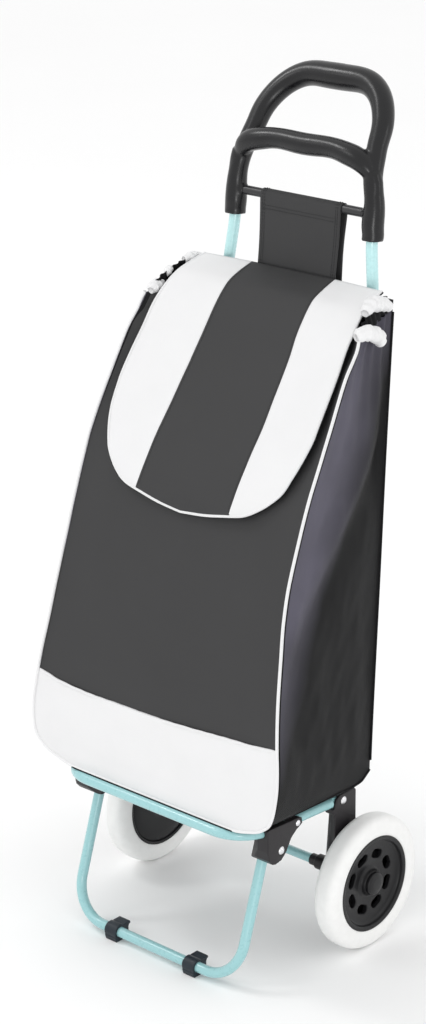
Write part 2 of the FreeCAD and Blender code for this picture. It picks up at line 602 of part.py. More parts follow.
def side_strip_quad(x_front, x_rear, y_front, y_rear, z_front, z_rear):
    return quad([(x_front, y_front, z_front), (x_rear, y_rear, z_rear),
                 (x_rear - COLLAR_T, y_rear, z_rear), (x_front - COLLAR_T, y_front, z_front)])


zr0 = fr[2] + (rr[2] - fr[2]) * (4.0 + 8.5) / (rr[1] - fr[1])
side_strip = loft([side_strip_quad(148.0, 135.5, -4.0, rr[1] - 4.0, 713.6, rr[2] + 0.2),
                   side_strip_quad(146.5, 134.0, -1.0, rr[1] - 4.0, 726.0, 747.0)])
rear_strip = loft([quad([(-135.0, rr[1] - 6.5, rr[2] + 0.2), (135.0, rr[1] - 6.5, rr[2] + 0.2), (135.0, rr[1] - 4.0, rr[2] + 0.2), (-135.0, rr[1] - 4.0, rr[2] + 0.2)]),
                   quad([(-133.5, rr[1] - 6.5, 740.8), (133.5, rr[1] - 6.5, 740.8), (133.5, rr[1] - 4.0, 740.8), (-133.5, rr[1] - 4.0, 740.8)])])
collar = fuse(side_strip, mirror(side_strip), rear_strip, front_strip)
save("bag_collar", collar)

# --------------------------------------------------------------- flap (cover)
# line of the flap at the seams of its middle stripe, from the back of the mouth forwards and down
FLAP_LINE = [(66.0, 746.5), (60.3, 744.9), (43.5, 739.4), (28.4, 732.7), (17.3, 722.8), (7.9, 712.0), (-0.5, 700.7), (-14.4, 678.2),
             (-30.5, 655.3), (-46.4, 634.0), (-62.9, 611.4), (-80.5, 589.5), (-96.0, 568.2), (-111.0, 545.0), (-119.0, 530.0), (-122.0, 517.0)]
# how far its side edges stand forward of that line
EDGE_Z = [550.0, 563.0, 578.0, 591.0, 604.0, 617.0, 632.0, 657.0, 671.0, 684.0, 698.0, 735.0, 746.5]
EDGE = [0.0, 1.0, 4.5, 6.8, 8.8, 9.8, 11.5, 12.5, 12.2, 11.9, 11.4, 5.4, 3.5]
FLAP_T = 3.0


def offset_line(line, d):
    out = []
    for i, p in enumerate(line):
        a, b = line[max(0, i - 1)], line[min(len(line) - 1, i + 1)]
        ty, tz = b[0] - a[0], b[1] - a[1]
        n = math.hypot(ty, tz)
        out.append((p[0] - tz / n * d, p[1] + ty / n * d))
    return out


def flap_section(x):
    k = (x * x - 64.0 ** 2) / (140.0 ** 2 - 64.0 ** 2)
    line = [(y - interp(z, EDGE_Z, EDGE) * k, z) for y, z in FLAP_LINE]
    pts = offset_line(line, FLAP_T / 2) + list(reversed(offset_line(line, -FLAP_T / 2)))
    return quad([(x, y, z) for y, z in pts])


flap_band = loft([flap_section(x) for x in (-144.0, -120.0, -96.0, -72.0, -48.0, -24.0, 0.0, 24.0, 48.0, 72.0, 96.0, 120.0, 144.0)])
half = [(125.0, 775.0), (126.0, 750.0), (128.0, 743.4), (132.0, 735.0), (135.5, 724.4), (137.8, 711.2), (140.0, 684.0), (141.8, 657.0), (142.5, 631.7),
        (142.1, 617.0), (140.3, 604.0), (137.1, 591.0), (132.6, 578.0), (126.0, 563.5), (115.4, 551.0), (102.0, 540.5), (85.6, 533.0),
        (62.0, 527.0), (32.0, 523.0), (0.0, 522.0)]
cover = half + [(-x, z) for x, z in reversed(half[:-1])]
mid_stripe = [(-59.9, 790.0), (-59.9, 745.0), (-62.5, 690.0), (-67.4, 600.0), (-68.5, 510.0), (68.5, 510.0), (67.4, 600.0), (62.5, 690.0), (59.9, 745.0), (59.9, 790.0)]
flap_all = flap_band.common(xz_plate(cover, -200.0, 120.0))
flap_center = flap_all.common(xz_plate(mid_stripe, -200.0, 120.0))
save("flap_center", biggest(flap_center))
sides = flap_all.cut(xz_plate(mid_stripe, -200.0, 120.0)).Solids
sides.sort(key=lambda s: s.CenterOfMass.x)
save("flap_side_left", sides[0])
save("flap_side_right", sides[-1])

print("nodes", len(made))
pts = [p for s in made.values() for p in s.tessellate(0.2)[0]]
ys, xs, zs = [p.y for p in pts], [p.x for p in pts], [p.z for p in pts]
print("box x %.2f %.2f y %.2f %.2f z %.2f %.2f" % (min(xs), max(xs), min(ys), max(ys), min(zs), max(zs)),
      "centre y %.3f" % ((min(ys) + max(ys)) / 2))
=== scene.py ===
import math

import bmesh
import bpy
import numpy as np
from mathutils import Matrix, Vector

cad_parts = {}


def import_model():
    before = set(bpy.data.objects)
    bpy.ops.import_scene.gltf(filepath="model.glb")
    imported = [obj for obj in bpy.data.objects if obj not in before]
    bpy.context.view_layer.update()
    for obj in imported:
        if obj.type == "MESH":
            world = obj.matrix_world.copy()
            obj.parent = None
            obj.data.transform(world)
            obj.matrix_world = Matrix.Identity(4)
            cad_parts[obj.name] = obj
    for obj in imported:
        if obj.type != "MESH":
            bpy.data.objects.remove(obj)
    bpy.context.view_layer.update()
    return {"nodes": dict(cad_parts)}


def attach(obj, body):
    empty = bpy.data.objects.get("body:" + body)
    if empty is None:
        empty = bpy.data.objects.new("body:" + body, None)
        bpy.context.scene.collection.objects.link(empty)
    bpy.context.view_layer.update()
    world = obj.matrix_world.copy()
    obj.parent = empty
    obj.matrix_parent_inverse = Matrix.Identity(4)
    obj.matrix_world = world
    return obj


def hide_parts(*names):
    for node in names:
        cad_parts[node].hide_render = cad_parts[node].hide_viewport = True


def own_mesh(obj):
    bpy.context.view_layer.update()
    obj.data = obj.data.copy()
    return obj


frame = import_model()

N = frame["nodes"]
YS = 15.25                      # the layout below has the axle on y = 0, in millimetres
RNG = np.random.default_rng(11)


# =====================================================================  small maths
def pch(xs, ys):
    """Smooth curve through the points that never overshoots them."""
    xs, ys = np.array(xs, float), np.array(ys, float)
    h, d = np.diff(xs), np.diff(ys) / np.diff(xs)
    m = np.zeros(len(xs))
    for i in range(1, len(xs) - 1):
        if d[i - 1] * d[i] > 0:
            w1, w2 = 2 * h[i] + h[i - 1], h[i] + 2 * h[i - 1]
            m[i] = (w1 + w2) / (w1 / d[i - 1] + w2 / d[i])
    m[0], m[-1] = d[0], d[-1]

    def f(x):
        x = np.clip(np.asarray(x, float), xs[0], xs[-1])
        i = np.clip(np.searchsorted(xs, x) - 1, 0, len(xs) - 2)
        t = (x - xs[i]) / h[i]
        return ((2 * t**3 - 3 * t**2 + 1) * ys[i] + (t**3 - 2 * t**2 + t) * h[i] * m[i]
                + (-2 * t**3 + 3 * t**2) * ys[i + 1] + (t**3 - t**2) * h[i] * m[i + 1])
    return f


def sm(a, b, x):
    t = np.clip((np.asarray(x, float) - a) / (b - a), 0, 1)
    return t * t * (3 - 2 * t)


def spline(points, n):
    """Even points on a smooth line through the given ones (centripetal)."""
    p = np.array(points, float)
    q = np.vstack([2 * p[0] - p[1], p, 2 * p[-1] - p[-2]])
    out = []
    for i in range(1, len(q) - 2):
        p0, p1, p2, p3 = q[i - 1:i + 3]
        k = [0.0]
        for a, b in ((p0, p1), (p1, p2), (p2, p3)):
            k.append(k[-1] + max(np.linalg.norm(b - a), 1e-6) ** 0.5)
        for s in np.linspace(0, 1, 24, endpoint=False):
            t = k[1] + (k[2] - k[1]) * s
            a1 = (k[1] - t) / (k[1] - k[0]) * p0 + (t - k[0]) / (k[1] - k[0]) * p1
            a2 = (k[2] - t) / (k[2] - k[1]) * p1 + (t - k[1]) / (k[2] - k[1]) * p2
            a3 = (k[3] - t) / (k[3] - k[2]) * p2 + (t - k[2]) / (k[3] - k[2]) * p3
            b1 = (k[2] - t) / (k[2] - k[0]) * a1 + (t - k[0]) / (k[2] - k[0]) * a2
            b2 = (k[3] - t) / (k[3] - k[1]) * a2 + (t - k[1]) / (k[3] - k[1]) * a3
            out.append((k[2] - t) / (k[2] - k[1]) * b1 + (t - k[1]) / (k[2] - k[1]) * b2)
    out.append(p[-1])
    return even(np.array(out), n)


def even(p, n):
    s = np.concatenate([[0], np.cumsum(np.linalg.norm(np.diff(p, axis=0), axis=1))])
    t = np.linspace(0, s[-1], n)
    return np.stack([np.interp(t, s, p[:, k]) for k in range(p.shape[1])], 1)


def length(p):
    return float(np.linalg.norm(np.diff(p, axis=0), axis=1).sum())


def waves(seed, count, low, high, dims=3):
    """Repeatable sum of sine waves, about +-1, with wavelengths from low to high."""
    g = np.random.default_rng(seed)
    k = g.normal(size=(count, dims))
    k /= np.linalg.norm(k, axis=1)[:, None]
    lam = np.exp(g.uniform(math.log(low), math.log(high), count))
    k *= (2 * math.pi / lam)[:, None]
    ph, amp = g.uniform(0, 2 * math.pi, count), (lam / high) ** 0.6

    def f(p):
        return (np.sin(p @ k.T + ph) * amp).sum(-1) / (0.6 * amp.sum() ** 0.5 * 1.6)
    return f


# =====================================================================  mesh makers
def obj(name, verts, faces, uvs=None, smooth=True):
    me = bpy.data.meshes.new(name)
    v = np.array(verts, float).reshape(-1, 3).copy()
    v[:, 1] += YS
    me.from_pydata((v / 1000).tolist(), [], faces)
    me.validate()
    if uvs is not None:
        layer = me.uv_layers.new(name="cloth")
        uv = np.array(uvs, float).reshape(-1, 2) / 1000
        idx = np.zeros(len(me.loops), int)
        me.loops.foreach_get("vertex_index", idx)
        layer.data.foreach_set("uv", uv[idx].ravel())
    me.update()
    o = bpy.data.objects.new(name, me)
    bpy.context.scene.collection.objects.link(o)
    if smooth:
        me.polygons.foreach_set("use_smooth", [True] * len(me.polygons))
    return o


def grid_faces(nu, nv, wrap_u=False, wrap_v=False, start=0):
    out = []
    for i in range(nu if wrap_u else nu - 1):
        for j in range(nv if wrap_v else nv - 1):
            a, b = i * nv + j, ((i + 1) % nu) * nv + j
            c, d = ((i + 1) % nu) * nv + (j + 1) % nv, i * nv + (j + 1) % nv
            out.append((start + a, start + b, start + c, start + d))
    return out


def grid_uv(P):
    """Arc-length UVs in millimetres from the middle row and column."""
    nu, nv = P.shape[:2]
    du = np.concatenate([np.zeros((1, nv)), np.cumsum(np.linalg.norm(np.diff(P, axis=0), axis=2), 0)])
    dv = np.concatenate([np.zeros((nu, 1)), np.cumsum(np.linalg.norm(np.diff(P, axis=1), axis=2), 1)], 1)
    du -= du[nu // 2][None, :]
    return np.stack([du, dv], 2)


def normals(P):
    du = np.gradient(P, axis=0)
    dv = np.gradient(P, axis=1)
    n = np.cross(du, dv)
    return n / np.maximum(np.linalg.norm(n, axis=2), 1e-9)[..., None]


def surface(name, P, flip=False, thick=None, subdiv=0, uv=None):
    """Cloth surface from a grid of points; thick is filled in behind it."""
    nu, nv = P.shape[:2]
    f = grid_faces(nu, nv)
    if flip:
        f = [q[::-1] for q in f]
    o = obj(name, P.reshape(-1, 3), f, (grid_uv(P) if uv is None else uv).reshape(-1, 2))
    if thick:
        m = o.modifiers.new("cloth", "SOLIDIFY")
        m.thickness, m.offset, m.use_even_offset = thick / 1000, -1.0, False
    return o


def tube(name, p, r, sides=12, closed=False, flat=1.0, up=(0, 0, 1), caps=True, bump=None):
    """Round bar along a line; r may change along it."""
    p = np.array(p, float)
    n = len(p)
    r = np.full(n, r, float) if np.isscalar(r) else np.array(r, float)
    t = np.gradient(p, axis=0)
    if closed:
        t = np.roll(p, -1, 0) - np.roll(p, 1, 0)
    t /= np.linalg.norm(t, axis=1)[:, None]
    up = np.array(up, float)
    a = np.zeros_like(p)
    last = up - t[0] * (up @ t[0])
    if np.linalg.norm(last) < 1e-3:
        last = np.cross(t[0], (1, 0, 0))
    for i in range(n):
        last = last - t[i] * (last @ t[i])
        last /= np.linalg.norm(last)
        a[i] = last
    b = np.cross(t, a)
    ang = np.linspace(0, 2 * math.pi, sides, endpoint=False)
    ring = p[:, None] + r[:, None, None] * (a[:, None] * (np.cos(ang) * flat)[None, :, None] + b[:, None] * np.sin(ang)[None, :, None])
    if bump is not None:
        ring = p[:, None] + (ring - p[:, None]) * (1 + bump(ring))[..., None]
    faces = [q[::-1] for q in grid_faces(n, sides, closed, True)]
    s = np.concatenate([[0], np.cumsum(np.linalg.norm(np.diff(p, axis=0), axis=1))])
    uv = np.stack(np.broadcast_arrays((ang * r.mean())[None, :], s[:, None]), 2)
    v = ring.reshape(-1, 3)
    uv = uv.reshape(-1, 2)
    if caps and not closed:
        v = np.vstack([v, p[0] - t[0] * r[0] * 0.35, p[-1] + t[-1] * r[-1] * 0.35])
        uv = np.vstack([uv, [[0, 0], [0, s[-1]]]])
        c0, c1 = len(v) - 2, len(v) - 1
        for k in range(sides):
            faces.append((c0, k, (k + 1) % sides))
            faces.append((c1, (n - 1) * sides + (k + 1) % sides, (n - 1) * sides + k))
    return obj(name, v, faces, uv)


def join(name, parts):
    for o in bpy.context.selected_objects:
        o.select_set(False)
    for o in parts:
        o.select_set(True)
    bpy.context.view_layer.objects.active = parts[0]
    if len(parts) > 1:
        bpy.ops.object.join()
    parts[0].name = name
    parts[0].data.name = name
    return parts[0]


def bake(o):
    """Apply the piece's modifiers."""
    dg = bpy.context.evaluated_depsgraph_get()
    me = bpy.data.meshes.new_from_object(o.evaluated_get(dg))
    o.modifiers.clear()
    o.data = me
    me.polygons.foreach_set("use_smooth", [True] * len(me.polygons))
    return o


def moulded(name, sources, voxel, smooth=4, ratio=0.4, extra=()):
    """Rounded moulding from copies of CAD meshes (the CAD nodes themselves stay as they are)."""
    parts = []
    for s in sources:
        c = bpy.data.objects.new(name, N[s].data.copy())
        bpy.context.scene.collection.objects.link(c)
        c.data.materials.clear()
        parts.append(c)
    o = join(name, parts + list(extra))
    m = o.modifiers.new("remesh", "REMESH")
    m.mode, m.voxel_size, m.adaptivity = "VOXEL", voxel / 1000, 0.0
    m = o.modifiers.new("smooth", "SMOOTH")
    m.factor, m.iterations = 0.5, smooth
    if ratio < 1:
        m = o.modifiers.new("fewer", "DECIMATE")
        m.ratio = ratio
    bake(o)
    return o


# =====================================================================  materials
def material(name):
    m = bpy.data.materials.new(name)
    m.use_nodes = True
    nt = m.node_tree
    bsdf = next(n for n in nt.nodes if n.type == "BSDF_PRINCIPLED")
    return m, nt, bsdf


def node(nt, kind, **sockets):
    n = nt.nodes.new(kind)
    for k, v in sockets.items():
        if k in n.inputs:
            n.inputs[k].default_value = v
        else:
            setattr(n, k, v)
    return n


def maths(nt, op, a, b=None, clamp=False):
    n = nt.nodes.new("ShaderNodeMath")
    n.operation, n.use_clamp = op, clamp
    for i, v in enumerate((a, b)):
        if v is None:
            continue
        if isinstance(v, (int, float)):
            n.inputs[i].default_value = v
        else:
            nt.links.new(v, n.inputs[i])
    return n.outputs[0]


def ramp(nt, value, a, b, lo, hi):
    n = nt.nodes.new("ShaderNodeMapRange")
    n.inputs["From Min"].default_value, n.inputs["From Max"].default_value = a, b
    n.inputs["To Min"].default_value, n.inputs["To Max"].default_value = lo, hi
    nt.links.new(value, n.inputs["Value"])
    return n.outputs["Result"]


def tint(nt, bsdf, color, value):
    """Base colour times a value near 1."""
    mix = nt.nodes.new("ShaderNodeVectorMath")
    mix.operation = "SCALE"
    mix.inputs[0].default_value = color
    nt.links.new(value, mix.inputs["Scale"])
    nt.links.new(mix.outputs[0], bsdf.inputs["Base Color"])


def noise_node(nt, coord, scale, detail=3.0, rough=0.5):
    n = node(nt, "ShaderNodeTexNoise", Scale=scale, Detail=detail, Roughness=rough)
    nt.links.new(coord, n.inputs["Vector"])
    return n.outputs["Fac"]


def bump(nt, bsdf, heights, strength=1.0):
    last = None
    for h, dist in heights:
        b = nt.nodes.new("ShaderNodeBump")
        b.inputs["Strength"].default_value = strength
        b.inputs["Distance"].default_value = dist
        nt.links.new(h, b.inputs["Height"])
        if last:
            nt.links.new(last, b.inputs["Normal"])
        last = b.outputs["Normal"]
    nt.links.new(last, bsdf.inputs["Normal"])


def cloth(name, color, rough=0.62, period=0.0011, depth=0.00012, sheen=0.0, spec=0.4, vary=0.05, sheen_tint=(1, 1, 1, 1), coat=0.0, painted_sheen_colour=None):
    m, nt, b = material(name)
    uv = node(nt, "ShaderNodeUVMap", uv_map="cloth").outputs["UV"]
    xyz = nt.nodes.new("ShaderNodeSeparateXYZ")
    nt.links.new(uv, xyz.inputs[0])
    k = math.pi / period
    pos = nt.nodes.new("ShaderNodeTexCoord").outputs["Object"]
    wob = ramp(nt, noise_node(nt, pos, 90.0, 2.0), 0, 1, -0.35, 0.35)
    sx = maths(nt, "SINE", maths(nt, "ADD", maths(nt, "MULTIPLY", xyz.outputs["X"], k), wob))
    sy = maths(nt, "SINE", maths(nt, "ADD", maths(nt, "MULTIPLY", xyz.outputs["Y"], k), wob))
    over = maths(nt, "MULTIPLY", sx, sy)
    ax, ay = maths(nt, "ABSOLUTE", sx), maths(nt, "ABSOLUTE", sy)
    pick = ramp(nt, over, -0.25, 0.25, 0.0, 1.0)
    mixf = nt.nodes.new("ShaderNodeMix")
    mixf.data_type = "FLOAT"
    nt.links.new(pick, mixf.inputs[0])
    nt.links.new(ax, mixf.inputs[2])
    nt.links.new(ay, mixf.inputs[3])
    weave = mixf.outputs[0]
    large = noise_node(nt, pos, 14.0, 4.0, 0.6)
    fine = noise_node(nt, pos, 900.0, 2.0, 0.7)
    val = maths(nt, "MULTIPLY", ramp(nt, weave, 0, 1, 1 - vary * 1.6, 1 + vary * 0.7),
                maths(nt, "MULTIPLY", ramp(nt, large, 0.3, 0.7, 1 - vary, 1 + vary), ramp(nt, fine, 0.3, 0.7, 1 - vary * 0.6, 1 + vary * 0.6)))
    tint(nt, b, color, val)
    if painted_sheen_colour:
        # painted sheen: a lighter colour in front of a line that runs down and forward, painted into the base colour
        # by position; it stands in for the studio light's sheen on the cloth
        p3 = nt.nodes.new("ShaderNodeSeparateXYZ")
        nt.links.new(pos, p3.inputs[0])
        away = maths(nt, "SUBTRACT", maths(nt, "MULTIPLY", p3.outputs["Z"], 0.55), p3.outputs["Y"])
        away = maths(nt, "ADD", away, ramp(nt, noise_node(nt, pos, 7.0, 2.0, 0.45), 0.3, 0.7, -0.018, 0.018))
        share = ramp(nt, away, 0.285, 0.350, 0.0, 1.0)
        painted_sheen_streak = ramp(nt, large, 0.35, 0.65, 0.82, 1.0)
        mixc = nt.nodes.new("ShaderNodeMix")
        mixc.data_type = "RGBA"
        nt.links.new(maths(nt, "MULTIPLY", share, painted_sheen_streak), mixc.inputs[0])
        nt.links.new(b.inputs["Base Color"].links[0].from_socket, mixc.inputs[6])
        mixc.inputs[7].default_value = painted_sheen_colour
        nt.links.new(mixc.outputs[2], b.inputs["Base Color"])
    nt.links.new(ramp(nt, maths(nt, "ADD", maths(nt, "MULTIPLY", large, 0.7), maths(nt, "MULTIPLY", fine, 0.3)), 0.3, 0.7, rough - 0.06, rough + 0.06), b.inputs["Roughness"])
    bump(nt, b, [(weave, depth), (large, 0.0006), (fine, 0.00004)])
    b.inputs["Specular IOR Level"].default_value = spec
    b.inputs["Sheen Weight"].default_value = sheen
    b.inputs["Sheen Roughness"].default_value = 0.35
    b.inputs["Sheen Tint"].default_value = sheen_tint
    b.inputs["Coat Weight"].default_value = coat
    b.inputs["Coat Roughness"].default_value = 0.42
    return m


def solid(name, color, rough=0.4, metal=0.0, coat=0.0, coat_rough=0.1, grain=1500.0, grain_depth=0.00003, waves_scale=60.0, wave_depth=0.0001, vary=0.04, spec=0.5, scuff=0.0, sub=0.0):
    m, nt, b = material(name)
    pos = nt.nodes.new("ShaderNodeTexCoord").outputs["Object"]
    g = noise_node(nt, pos, grain, 3.0, 0.6)
    w = noise_node(nt, pos, waves_scale, 3.0, 0.5)
    s = noise_node(nt, pos, 260.0, 6.0, 0.75)
    value = maths(nt, "MULTIPLY", ramp(nt, w, 0.3, 0.7, 1 - vary, 1 + vary), ramp(nt, g, 0.3, 0.7, 1 - vary * 0.5, 1 + vary * 0.5))
    if scuff:
        geo = nt.nodes.new("ShaderNodeNewGeometry").outputs["Pointiness"]
        edge = ramp(nt, geo, 0.52, 0.6, 0.0, 1.0)
        value = maths(nt, "ADD", value, maths(nt, "MULTIPLY", maths(nt, "MULTIPLY", edge, ramp(nt, s, 0.45, 0.7, 0, 1)), scuff))
    tint(nt, b, color, value)
    nt.links.new(ramp(nt, maths(nt, "ADD", maths(nt, "MULTIPLY", w, 0.5), maths(nt, "MULTIPLY", s, 0.5)), 0.35, 0.65, max(0.03, rough - 0.06), rough + 0.07), b.inputs["Roughness"])
    bump(nt, b, [(g, grain_depth), (w, wave_depth)])
    b.inputs["Metallic"].default_value = metal
    b.inputs["Coat Weight"].default_value = coat
    b.inputs["Coat Roughness"].default_value = coat_rough
    b.inputs["Specular IOR Level"].default_value = spec
    if sub:
        b.inputs["Subsurface Weight"].default_value = sub
        b.inputs["Subsurface Radius"].default_value = (0.004, 0.004, 0.004)
    return m


M = {
    "charcoal": cloth("charcoal_cloth", (0.042, 0.042, 0.043), rough=0.66, spec=0.25, sheen=0.01, vary=0.05),
    "black": cloth("black_cloth", (0.020, 0.020, 0.022), rough=0.55, spec=0.2, sheen=0.0, vary=0.05),
    # the gussets carry a painted sheen: lighter bluish colour on their front part where the light's sheen falls,
    # dark behind
    "gusset": cloth("gusset_cloth_painted_sheen", (0.008, 0.008, 0.0085), rough=0.55, spec=0.15, sheen=0.0, vary=0.05, painted_sheen_colour=(0.105, 0.100, 0.130, 1.0)),
    # deep black cloth for the collar and the dark strips; on the cord along the flap's edge it is painted shadow
    "deep": cloth("deep_black_cloth_and_painted_shade", (0.006, 0.006, 0.007), rough=0.75, spec=0.2, vary=0.05),
    "white": cloth("white_cloth", (0.75, 0.75, 0.755), rough=0.6, vary=0.015, depth=0.00008, spec=0.35),
    "binding": cloth("white_binding", (0.80, 0.80, 0.805), rough=0.55, period=0.0008, vary=0.02, depth=0.0001),
    "lining": cloth("dark_lining", (0.012, 0.012, 0.013), rough=0.8, spec=0.2, vary=0.06),
    "thread_dark": solid("dark_thread", (0.02, 0.02, 0.022), rough=0.7, grain=4000.0),
    "thread_light": solid("light_thread", (0.75, 0.75, 0.75), rough=0.7, grain=4000.0),
    "teal": solid("teal_powder_coat", (0.30, 0.56, 0.58), rough=0.3, coat=0.6, coat_rough=0.12, grain=900.0, grain_depth=0.00003, waves_scale=240.0, wave_depth=0.00005, vary=0.02),
    # painted light: a lighter copy of the same teal paint for the uprights, standing in for the stronger light on
    # them
    "teal_painted_lighter": solid("teal_powder_coat_painted_lighter", (0.47, 0.75, 0.76), rough=0.28, coat=0.6, coat_rough=0.12, grain=900.0, grain_depth=0.00003, waves_scale=240.0, wave_depth=0.00005, vary=0.02),
    "handle": solid("handle_plastic", (0.004, 0.004, 0.005), rough=0.27, spec=0.42, grain=1400.0, grain_depth=0.00004, waves_scale=45.0, wave_depth=0.0002, vary=0.06, scuff=0.8),
    "mould": solid("black_moulding", (0.017, 0.015, 0.017), rough=0.42, spec=0.35, grain=1600.0, grain_depth=0.00005, waves_scale=70.0, wave_depth=0.00025, vary=0.08, scuff=1.0),
    "clip": solid("clip_moulding", (0.012, 0.019, 0.027), rough=0.42, spec=0.35, grain=1600.0, grain_depth=0.00005, waves_scale=70.0, wave_depth=0.00025, vary=0.08, scuff=0.8),
    "bar": solid("black_bar", (0.02, 0.02, 0.022), rough=0.35, grain=900.0, vary=0.05),
    "steel": solid("bright_steel", (0.78, 0.78, 0.80), rough=0.22, metal=1.0, grain=1200.0, grain_depth=0.00002, vary=0.05),
    "foam": solid("white_foam", (0.84, 0.84, 0.83), rough=0.6, grain=1300.0, grain_depth=0.00012, waves_scale=120.0, wave_depth=0.0003, vary=0.02, spec=0.3),
    "hub": solid("hub_plastic", (0.009, 0.009, 0.010), rough=0.36, spec=0.3, grain=1500.0, grain_depth=0.00004, vary=0.06, scuff=0.8),
    "board": solid("hardboard", (0.25, 0.15, 0.08), rough=0.7, grain=700.0, grain_depth=0.0001, waves_scale=180.0, vary=0.2),
}


def paint(o, key):
    o.data.materials.clear()
    o.data.materials.append(M[key])
    return o


def thickness_material(o, outer, inner, edge=None):
    """Outer cloth, another cloth for the inside and the cut edge of a Solidify shell."""
    o.data.materials.clear()
    o.data.materials.append(M[outer])
    o.data.materials.append(M[inner])
    o.data.materials.append(M[edge or inner])
    for m in o.modifiers:
        if m.type == "SOLIDIFY":
            m.material_offset = 1
            m.material_offset_rim = 2
    return o


# =====================================================================  camera
C = Vector((1.81038, -2.06458 + YS / 1000, 1.50707))
yaw, pitch, roll = math.radians(42.23), math.radians(-20.43), math.radians(-0.77)
f = Vector((-math.sin(yaw) * math.cos(pitch), math.cos(yaw) * math.cos(pitch), math.sin(pitch)))
r = Vector((math.cos(yaw), math.sin(yaw), 0))
u = r.cross(f)
c_, s_ = math.cos(roll), math.sin(roll)
r2, u2 = r * c_ + u * s_, u * c_ - r * s_
cam = bpy.data.objects.new("camera", bpy.data.cameras.new("camera"))
bpy.context.scene.collection.objects.link(cam)
rot = Matrix((r2, u2, -f)).transposed().to_4x4()
cam.matrix_world = Matrix.Translation(C) @ rot
cam.data.sensor_fit = "AUTO"
cam.data.sensor_width = 36.0
cam.data.lens = 92.455
cam.data.clip_start, cam.data.clip_end = 0.05, 100
cam.data.dof.use_dof = False
bpy.context.scene.camera = cam

# =====================================================================  bag tables (mm)
BZ = [196.5, 200, 206, 214, 226, 242, 262, 283, 303, 330, 360, 400, 440, 480, 520, 545, 567, 590, 611, 634, 656, 680, 697, 712]
BW = [146, 155, 164, 171, 177, 180.5, 181.5, 180, 177.5, 174, 170, 166, 162, 160, 160, 160, 160.2, 160, 159.3, 158.2, 157, 155.6, 154.3, 152.5]
BY = [-177, -178.5, -179.5, -180, -180, -179, -176.5, -173.5, -171, -166.5, -160, -151, -141.5, -129.5, -115, -105.3, -96, -84, -72.5, -59.3, -47, -32.3, -18, -8.5]
fY = pch(BZ, BY)
fW = pch([196.5, 198.2, 200, 203.5, 206, 209, 214, 221.6, 235, 250, 262] + BZ[7:], [112, 119, 129, 141, 149, 157, 165, 173.5, 178.8, 180.9, 181.5] + BW[7:])
fS = pch([500, 545, 567, 590, 611, 634, 656, 680, 697, 712], [0, 0.3, 5, 10, 16, 21, 24.5, 28, 28, 28])
T55 = math.tan(math.radians(5.5))


def up_y(z):
    return 14.5 + (z - 100) * T55


RIM_R = 738.0
rz = lambda z: 180 + (RIM_R - 180) * (z - 196.5) / (712 - 196.5)
bw = pch([183, 240, 440, 600, 744, 800], [153, 150.5, 145, 140.5, 137.6, 137])
plat_z = lambda y: 180 + 0.067073 * (-18 - y)
base_z = pch([-190, -120, -45, -22, 0, 11, 40], [plat_z(-190) + 6.9, plat_z(-120) + 6.9, plat_z(-45) + 6.9, 190.2, 193.6, 199.5, 216.0])
edge_z = pch([-190, -180, -165, -150, -110, -75, -40, -20, 0, 11, 40], [206.5, 206.0, 205.6, 205.0, 204.0, 202.5, 200.5, 197.8, 198.8, 204.0, 219.0])
front_wave = waves(3, 14, 70, 260)
small_wave = waves(4, 16, 22, 70)


def front_pt(u, z):
    """Outer face of the front at share u of the half width, height z."""
    x = u * fW(z)
    y = fY(z) + fS(z) * (1 - np.abs(u) ** 6)
    return np.stack(np.broadcast_arrays(x, y, z), -1)


def seam_z(x):
    """The wavy top line of the white band."""
    return pch([-190, -179, -140, -80, -15, 30, 66, 105, 143, 174, 190], [302.5, 301.7, 295.5, 293.2, 293.4, 295.5, 298.0, 300.6, 303.0, 306.2, 307])(x)


def relief(P, u, amp, tiny, keep=0.0):
    """Soft unevenness that dies out at the side seams."""
    n = normals(P)
    edge = 1 - np.abs(u) ** 8
    d = amp * front_wave(P) + tiny * small_wave(P)
    return P - n * (d * edge * (1 - keep))[..., None]


# ---------------------------------------------------------------- front panel and band
us = np.concatenate([np.linspace(-1, -0.86, 12)[:-1], np.linspace(-0.86, 0.86, 66), np.linspace(0.86, 1, 12)[1:]])
rows = 120
P = np.zeros((len(us), rows, 3))
for i, uu in enumerate(us):
    z0 = float(seam_z(uu * 178)) - 6
    P[i] = front_pt(uu, z0 + (712.5 - z0) * np.linspace(0, 1, rows) ** 1.0)
U = np.broadcast_to(us[:, None], P.shape[:2])
P = relief(P, U, 0.9, 0.22)
# the cloth is drawn in a little along the seam
pull = np.exp(-(P[..., 2] - seam_z(P[..., 0])) / 14.0)
P[..., 1] += 1.3 * pull * (1 - U ** 8)
front = surface("bag_front", P, thick=1.5)
thickness_material(front, "charcoal", "lining", "charcoal")

rows = 52
P = np.zeros((len(us), rows + 4, 3))
for i, uu in enumerate(us):
    z1 = float(seam_z(uu * 178))
    zz = 198.2 + (z1 - 198.2) * np.linspace(0, 1, rows) ** 1.15
    q = front_pt(uu, zz)
    q[:, 1] -= 0.9
    low = q[0]
    x0 = low[0]
    under = [(x0 * 0.985, -166.0, base_z(-166.0) + 0.4), (x0 * 0.99, -171.5, base_z(-171.5) + 0.2), (x0 * 0.995, -175.4, 197.4)]
    P[i, :3] = under
    P[i, 3:-1] = q
    P[i, -1] = q[-1] + np.array([0, 1.3, 0.3])
U = np.broadcast_to(us[:, None], P.shape[:2])
keep = np.zeros(P.shape[:2])
keep[:, :6] = 1
P2 = relief(P, U, 0.8, 0.3, keep)
